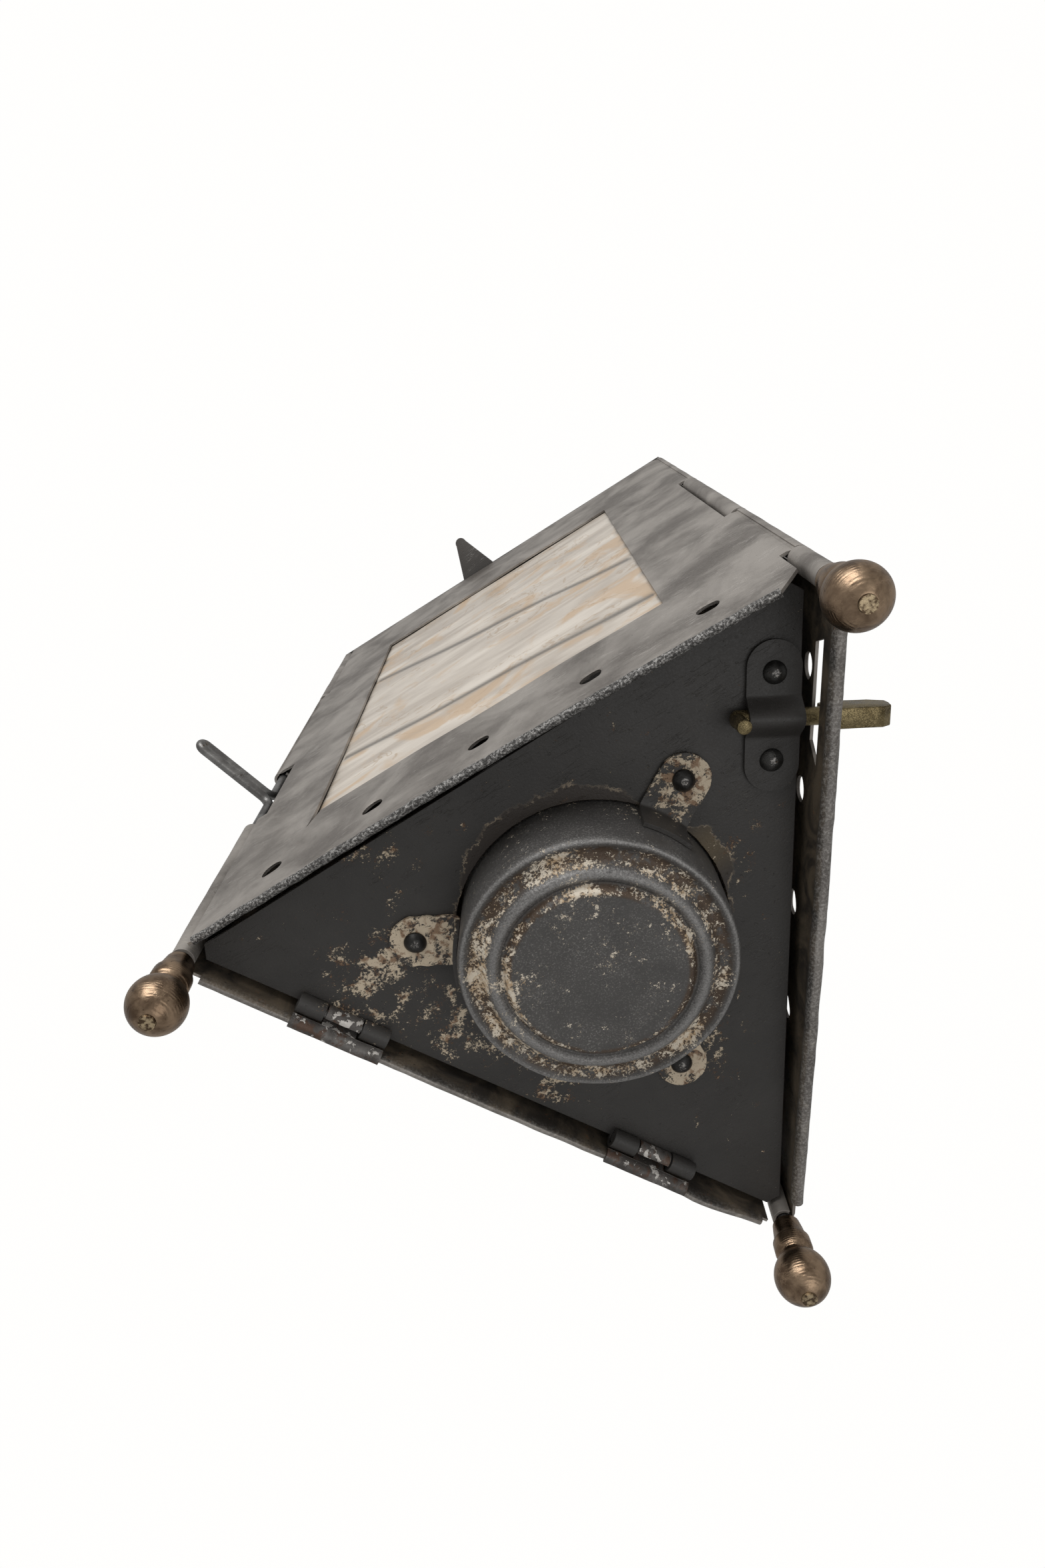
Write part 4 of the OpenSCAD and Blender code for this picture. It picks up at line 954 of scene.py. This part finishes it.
def cup_shell():
    """The cup: its stamped section carried round the axis, with small dents; the inner side follows the outer."""
    section = np.array([
        (0, 0.05), (6, 0.02), (12, 0.0), (13.8, 0.02), (14.6, 0.12), (15.0, 0.5), (15.4, 1.15), (15.8, 1.35),
        (16.2, 1.1), (16.7, 0.75), (17.2, 0.66), (17.8, 0.85), (18.4, 1.6), (19.1, 2.5), (20.0, 2.95),
        (20.8, 2.85), (21.5, 2.35), (22.1, 2.1), (22.6, 2.35), (22.9, 3.1), (22.97, 4.2), (22.97, 7),
        (22.97, 12), (22.97, high_z("cup") - CUP_LOW),
    ])
    section[:, 0] *= CUP_R / 23
    outer = soft_line(section, 6)
    ridge = np.interp(
        outer[:, 0] * 23 / CUP_R,
        [0, 12, 14.8, 15.6, 16.2, 17.2, 18.2, 19.0, 21.2, 21.9, 22.4, 22.8, 23.1],
        [0.3, 0.3, 0.2, 0.2, 0.75, 0.9, 0.75, 0.2, 0.2, 0.75, 0.9, 0.55, 0.35],
    )
    ridge = np.where(outer[:, 1] > 4.5, 0.3, ridge)
    away = np.gradient(outer, axis=0)
    away /= np.linalg.norm(away, axis=1, keepdims=True)
    inner = outer + CUP_SHEET * np.stack([-away[:, 1], away[:, 0]], -1)
    inner[:, 0] = np.maximum(inner[:, 0], 0)
    inner[0, 0] = 0
    inner[-1] = [outer[-1, 0] - CUP_SHEET, outer[-1, 1]]
    line = np.concatenate([outer, inner[::-1]])
    marks = np.concatenate([ridge, ridge[::-1] * 0])
    turn = np.linspace(0, 2 * math.pi, 220, endpoint=False)[None, :]
    r, z = line[:, :1], line[:, 1:]
    across = r * np.cos(turn), r * np.sin(turn)
    dent = (0.10 * ripple(21, 9, *across) + 0.04 * ripple(22, 2.5, *across)) * smooth(0.5, 3, r)
    z = z + dent * (z < 7)
    skin = Skin()
    skin.add(round_axis(r, turn, CUP_LOW + z), closed=True, mark=marks[:, None], flip=True)
    return skin.piece("cup_shell", "case", stamped_cup(), sharp=50, replaces=("cup",))


cup_shell()


def ear(skin, at, seed):
    """An ear: a strip that comes down the cup's side, bends out under the plate and ends in a half circle."""
    # distance out from the cup's side, and height from the plate
    lip = np.array([(0.42, -8.0), (0.42, -4.0), (0.45, -1.6), (0.75, -0.75), (1.5, -0.42)]) + (CUP_R, BASE_Z)
    out = np.linspace(CUP_R + 2.2, RIVET_R + EAR_WIDE / 2, 22)
    line = np.concatenate([soft_line(lip, 4)[:-1], np.stack([out, np.full(22, BASE_Z - 0.42)], -1)])
    r, z = line[:, :1], line[:, 1:]
    over = np.clip((r - RIVET_R) / (EAR_WIDE / 2), 0, 1)
    half = EAR_WIDE / 2 * np.sqrt(np.maximum(0, 1 - over**2)) * (1 + 0.03 * ripple(seed, 4, r))
    v = np.linspace(-1, 1, 17)[None, :]
    side = half * v
    dimple = 0.22 * np.exp(-(((r - RIVET_R) ** 2 + side**2) / 2.6**2) ** 2)
    # on the cup the strip follows the cup's curve, and beyond it runs flat
    curve = smooth(CUP_R + 0.6, CUP_R + 2.5, r)
    turn = (1 - curve) * side / r + curve * np.arctan2(side, r)
    far = (1 - curve) * r + curve * np.hypot(side, r)
    points = round_axis(far, at + turn, z + dimple + 0.04 * ripple(seed, 5, r, side))
    skin.add(lifted(points), mark=np.abs(v) ** 8 * np.ones_like(r), flip=True)


for number, (at, region) in enumerate(zip(EAR_AT, (0.24, 0.20, 0.24))):
    skin = Skin()
    ear(skin, at, 40 + number)
    spot = on_plate(RIVET_R + (-1.0, 1.5, 1.0)[number], math.degrees(at) + (0, 5, -2)[number])
    finish = blackened_tin(f"ear_tin_{number}", [(spot, 15, region)], size=2.2, tone=1.1)
    skin.piece(f"cup_ear_{number}", "case", finish, sheet=0.74, soften=0.14, sharp=0,
                      replaces=("cup_ears",) if number == 0 else ())


def rivet(skin, x, y, head, seed):
    """A rivet head hammered a little flat and out of round, standing below the sheet, and its end above the plate."""
    r = np.array([0, 0.35, 0.7, 1.1, 1.5, 1.85, 2.0, 1.98, 1.7, 0])
    z = np.array([-1.12, -1.12, -1.06, -0.9, -0.62, -0.25, -0.04, 0.10, 0.12, 0.12])
    bare = [1, 1, 0.95, 0.7, 0.4, 0.1, 0, 0, 0, 0]
    turned(skin, (x, y), r * head, BASE_Z - 0.84 + z, 28, 0.05, seed, mark=bare, tip=on_slope)
    r = np.array([0, 1.6, 1.72, 1.4, 0.8, 0])
    z = np.array([-0.1, -0.1, 0.08, 0.5, 0.72, 0.76])
    turned(skin, (x, y), (r * head), BASE_Z + 0.82 + z, 24, 0.05, seed + 1, tip=on_slope)


DARK_STEEL = dull_steel("rivet_steel", (0.026, 0.025, 0.024), (0.07, 0.068, 0.065), ridge=True)
skin = Skin()
for number, at in enumerate(EAR_AT):
    x, y, _ = round_axis(RIVET_R, at, 0)
    rivet(skin, x, y, 0.98, 60 + number)
skin.piece("ear_rivet_heads", "case", DARK_STEEL, sharp=60, replaces=("ear_rivets",))
skin = Skin()
for number, side in enumerate((-1, 1)):
    x, y, _ = on_wall(RIGHT, ROD_GAP - BOLT_AT + side * 7.3, BRACKET_Y, 0)
    rivet(skin, x, y, 0.98, 70 + number)
skin.piece("latch_rivet_heads", "case", DARK_STEEL, sharp=60, replaces=("latch_rivets",))


def hinge_strap_rolls():
    """The straps of the base hinge: a leaf on the wall's inner face, with its middle rolled round the pin."""
    skin = Skin()
    under = np.radians(np.linspace(180, 285, 12))
    py = np.concatenate([[1.06, 1.06], 2.5 + 1.42 * np.cos(under)])
    pz = np.concatenate([[HINGE_Z - 1.35, HINGE_Z - 1.2 - 0.2], RIM_Z + 1.2 + 1.42 * np.sin(under)])
    for centre in HINGES_AT:
        curl(skin, centre - 3.2, centre + 3.2, drop=(1.06, 1.4))
        xs, ys = np.meshgrid(np.linspace(centre - 8.5, centre + 8.5, 24), py)
        _, zs = np.meshgrid(np.linspace(0, 1, 24), pz)
        skin.add(on_wall(LEFT, xs, ys + 0.04 * ripple(12, 5, xs, zs), zs + 0.04 * ripple(14, 6, xs, ys)), mark=0.3)
    return skin.piece("base_hinge_strap_rolls", "case", hinge_tin(), sheet=0.5, soften=0.08, sharp=0,
                      replaces=("base_hinge_straps",))


hinge_strap_rolls()

# ---------------------------------------------------------------- latch


def bracket():
    """The latch bracket: a stadium of sheet, pressed down in the middle into a channel for the bolt."""
    long, wide = 25.2, 9.0
    u = np.linspace(-1, 1, 97)[:, None]
    across = np.linspace(-1, 1, 15)[None, :]
    x = long / 2 * np.sin(u * math.pi / 2) * np.ones_like(across)
    over = np.clip((np.abs(x) - (long - wide) / 2) / (wide / 2), 0, 1)
    y = across * wide / 2 * np.sqrt(np.maximum(0, 1 - over**2))
    press = (0.5 + 0.5 * np.cos(math.pi * np.clip(np.abs(x) / 3.5, 0, 1))) ** 0.8
    rim = 0.12 * np.exp(-(((np.abs(x) - 7.3) ** 2 + y**2) / 2.7**2) ** 2)
    z = BASE_Z - 0.42 - 3.1 * press + rim + 0.04 * ripple(17, 7, x, y)
    skin = Skin()
    skin.add(on_slope(on_wall(RIGHT, ROD_GAP - BOLT_AT + x, BRACKET_Y + y, z)))
    finish = blackened_tin("bracket_tin", [], size=2.5, tone=0.95)
    return skin.piece("latch_bracket_sheet", "case", finish, sheet=0.74, soften=0.14, sharp=0,
                      replaces=("latch_bracket",))


bracket()


def bolt():
    """The turn bolt: a round shank, a peg with a softened end, and a flat paddle with clipped corners."""
    skin = Skin()
    x0, inner, outer = ROD_GAP - BOLT_AT, BRACKET_Y - 6.15, 2.6
    y = np.array([inner - 1.0, inner - 0.9, inner - 0.5, inner, 0, outer + 0.8])
    r = np.array([0.5, 0.95, 1.4, 1.5, 1.5, 1.5])
    tube(skin, on_slope(on_wall(RIGHT, x0, y, BOLT_Z)), r, 28)
    z = np.array([0, -4.2, -5.05, -5.35, -5.5])
    r = np.array([1.22, 1.22, 1.24, 1.15, 0.85])
    tube(skin, on_slope(on_wall(RIGHT, x0, inner, BOLT_Z + z)), r, 24, mark=1.0)
    reach = 11.0
    shape = np.array([(0, -2.0), (1.2, -2.75), (reach - 1.6, -2.72), (reach - 0.2, -1.7), (reach, 0),
                      (reach - 0.1, 1.6), (reach - 2.6, 2.75), (1.2, 2.75), (0, 2.0)])
    shape = np.concatenate([np.linspace(a, b, 7)[:-1] for a, b in zip(shape, np.roll(shape, -1, 0))])
    thick = np.array([-1.7, -1.7, -1.66, -1.5, 0, 1.5, 1.66, 1.7, 1.7])[:, None]
    inset = np.array([1.0, 0.10, 0.04, 0.0, 0.0, 0.0, 0.04, 0.10, 1.0])[:, None]
    py, pz = shape[None, :, 0], shape[None, :, 1]
    py = py + (reach / 2 - py) * np.where(inset == 1, 1, inset / 5)
    pz = pz + (0.0 - pz) * np.where(inset == 1, 1, inset / 3)
    uneven = 0.05 * ripple(19, 5, py, pz)
    paddle = on_wall(RIGHT, x0 + thick + uneven * (np.abs(thick) > 1), outer + py, BOLT_Z + pz)
    skin.add(on_slope(paddle), closed=True)
    finish = old_brass("bolt_brass", (0.105, 0.080, 0.040), (0.27, 0.215, 0.115), speckle=0.35)
    return skin.piece("turn_bolt_forged", "turn_bolt", finish, sharp=42, replaces=("latch_bolt",))


bolt()

# ---------------------------------------------------------------- feet and wires

FOOT_BRASS = old_brass("foot_brass", (0.13, 0.085, 0.055), (0.40, 0.285, 0.19), turned_rings=0.3)


def ball_foot(side, body):
    """A turned foot: a ball, a waist, a ring, and a cone up to the walls; the rod's hammered end fills its tip."""
    x, y, _ = middle("ball_foot_" + side)
    ball = (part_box("ball_foot_" + side)[1].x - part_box("ball_foot_" + side)[0].x) / 2 / MM
    up = np.linspace(-0.955, 0.80, 34)
    r = ball * np.sqrt(1 - up**2)
    z = ball + 0.3 + ball * up
    neck = np.array([(2.95, 9.5), (2.9, 9.9), (3.25, 10.3), (3.42, 10.8), (3.4, 12.2), (3.38, 13.0), (3.1, 13.3),
                     (2.95, 13.6), (2.75, 15.4), (2.5, 17.1), (1.2, 17.15)])
    r = np.concatenate([[1.32, 1.35], r, neck[:, 0]])
    z = np.concatenate([[0.95, 0.5], z, neck[:, 1]])
    skin = Skin()
    turned(skin, (x, y), r, z, 72, 0.006, ord(side[0]))
    return skin.piece("turned_foot_" + side, body, FOOT_BRASS, sharp=55,
                      replaces=("ball_foot_" + side,))


for side, body in (("right", "case"), ("back", "case"), ("left", "loop_rod")):
    ball_foot(side, body)

WIRE_STEEL = dull_steel("steel_wire", (0.15, 0.145, 0.14), (0.30, 0.295, 0.285), brass_ends=True)
NAMED = {"wall_tin": plain_tin(), "base_tin": cover_tin(), "wax": candle_wax(), "wick_cotton": burnt_cotton()}
slots = {part["node"]: part["material_slot"] for part in frame["record"]["subparts"]}
for name, node in frame["nodes"].items():
    node.data.materials.clear()
    node.data.materials.append(NAMED.get(slots[name], WIRE_STEEL))

# ---------------------------------------------------------------- floor, light and camera


def pale_floor():
    """A floor at the feet that can be seen from above only: from below it would hide the lantern's base."""
    mesh = bpy.data.meshes.new("floor")
    mesh.from_pydata([(-3, -3, 0), (3, -3, 0), (3, 3, 0), (-3, 3, 0)], [], [(0, 1, 2, 3)])
    floor = bpy.data.objects.new("floor", mesh)
    bpy.context.scene.collection.objects.link(floor)
    finish = bpy.data.materials.new("pale_floor")
    finish.use_nodes = True
    tree = finish.node_tree
    shader = tree.nodes["Principled BSDF"]
    shader.inputs["Base Color"].default_value = (0.82, 0.81, 0.80, 1)
    shader.inputs["Roughness"].default_value = 0.7
    clear = put(tree, "BsdfTransparent")
    side = put(tree, "NewGeometry").outputs["Backfacing"]
    mix = put(tree, "MixShader", {0: side, 1: shader.outputs[0], 2: clear.outputs[0]})
    tree.links.new(mix.outputs[0], tree.nodes["Material Output"].inputs["Surface"])
    mesh.materials.append(finish)
    floor.visible_diffuse = floor.visible_glossy = floor.visible_transmission = floor.visible_shadow = False


def soft_light(name, way, distance, size, power, tint=(1, 1, 1)):
    """A square soft box that looks at the middle of the lantern from a given way."""
    light = bpy.data.lights.new(name, "AREA")
    light.shape, light.size, light.energy, light.color = "SQUARE", size, power, tint
    box = bpy.data.objects.new(name, light)
    way = Vector(way).normalized()
    target = Vector((AXIS[0] * MM, AXIS[1] * MM, 0.07))
    box.location = target + way * distance
    box.rotation_euler = way.to_track_quat("Z", "Y").to_euler()
    bpy.context.scene.collection.objects.link(box)


def studio():
    world = bpy.data.worlds.new("studio")
    world.use_nodes = True
    tree = world.node_tree
    shade = tree.nodes["Background"]
    shade.inputs["Color"].default_value = (1.0, 0.995, 0.985, 1)
    seen = put(tree, "LightPath").outputs["Is Camera Ray"]
    tree.links.new(ramp(tree, seen, 0, 1, 0.42, 1.0, "LINEAR"), shade.inputs["Strength"])
    bpy.context.scene.world = world
    soft_light("key", UP * 1.0 - RIGHTWARDS * 0.45 - LOOK * 0.6, 0.75, 0.45, 3.4)
    soft_light("fill", -LOOK * 1.0 + RIGHTWARDS * 0.4 - UP * 0.2, 0.9, 0.5, 1.0)


UP = Vector((0.49559, -0.78798, 0.36534))
LOOK = Vector((-0.18794, 0.31338, 0.93085))
RIGHTWARDS = LOOK.cross(UP)


def place_camera():
    """The camera is close under the lantern, and looks up past its cup at the door."""
    data = bpy.data.cameras.new("camera")
    data.sensor_fit, data.sensor_height, data.sensor_width = "VERTICAL", 36, 24
    data.lens = 24.35
    data.clip_start, data.clip_end = 0.005, 20
    camera = bpy.data.objects.new("camera", data)
    turn = Matrix((RIGHTWARDS, UP, -LOOK)).transposed().to_4x4()
    camera.matrix_world = Matrix.Translation((0.03685, -0.09283, -0.13616)) @ turn
    bpy.context.scene.collection.objects.link(camera)
    bpy.context.scene.camera = camera


pale_floor()
studio()
place_camera()
bpy.context.scene.view_settings.view_transform = "Standard"
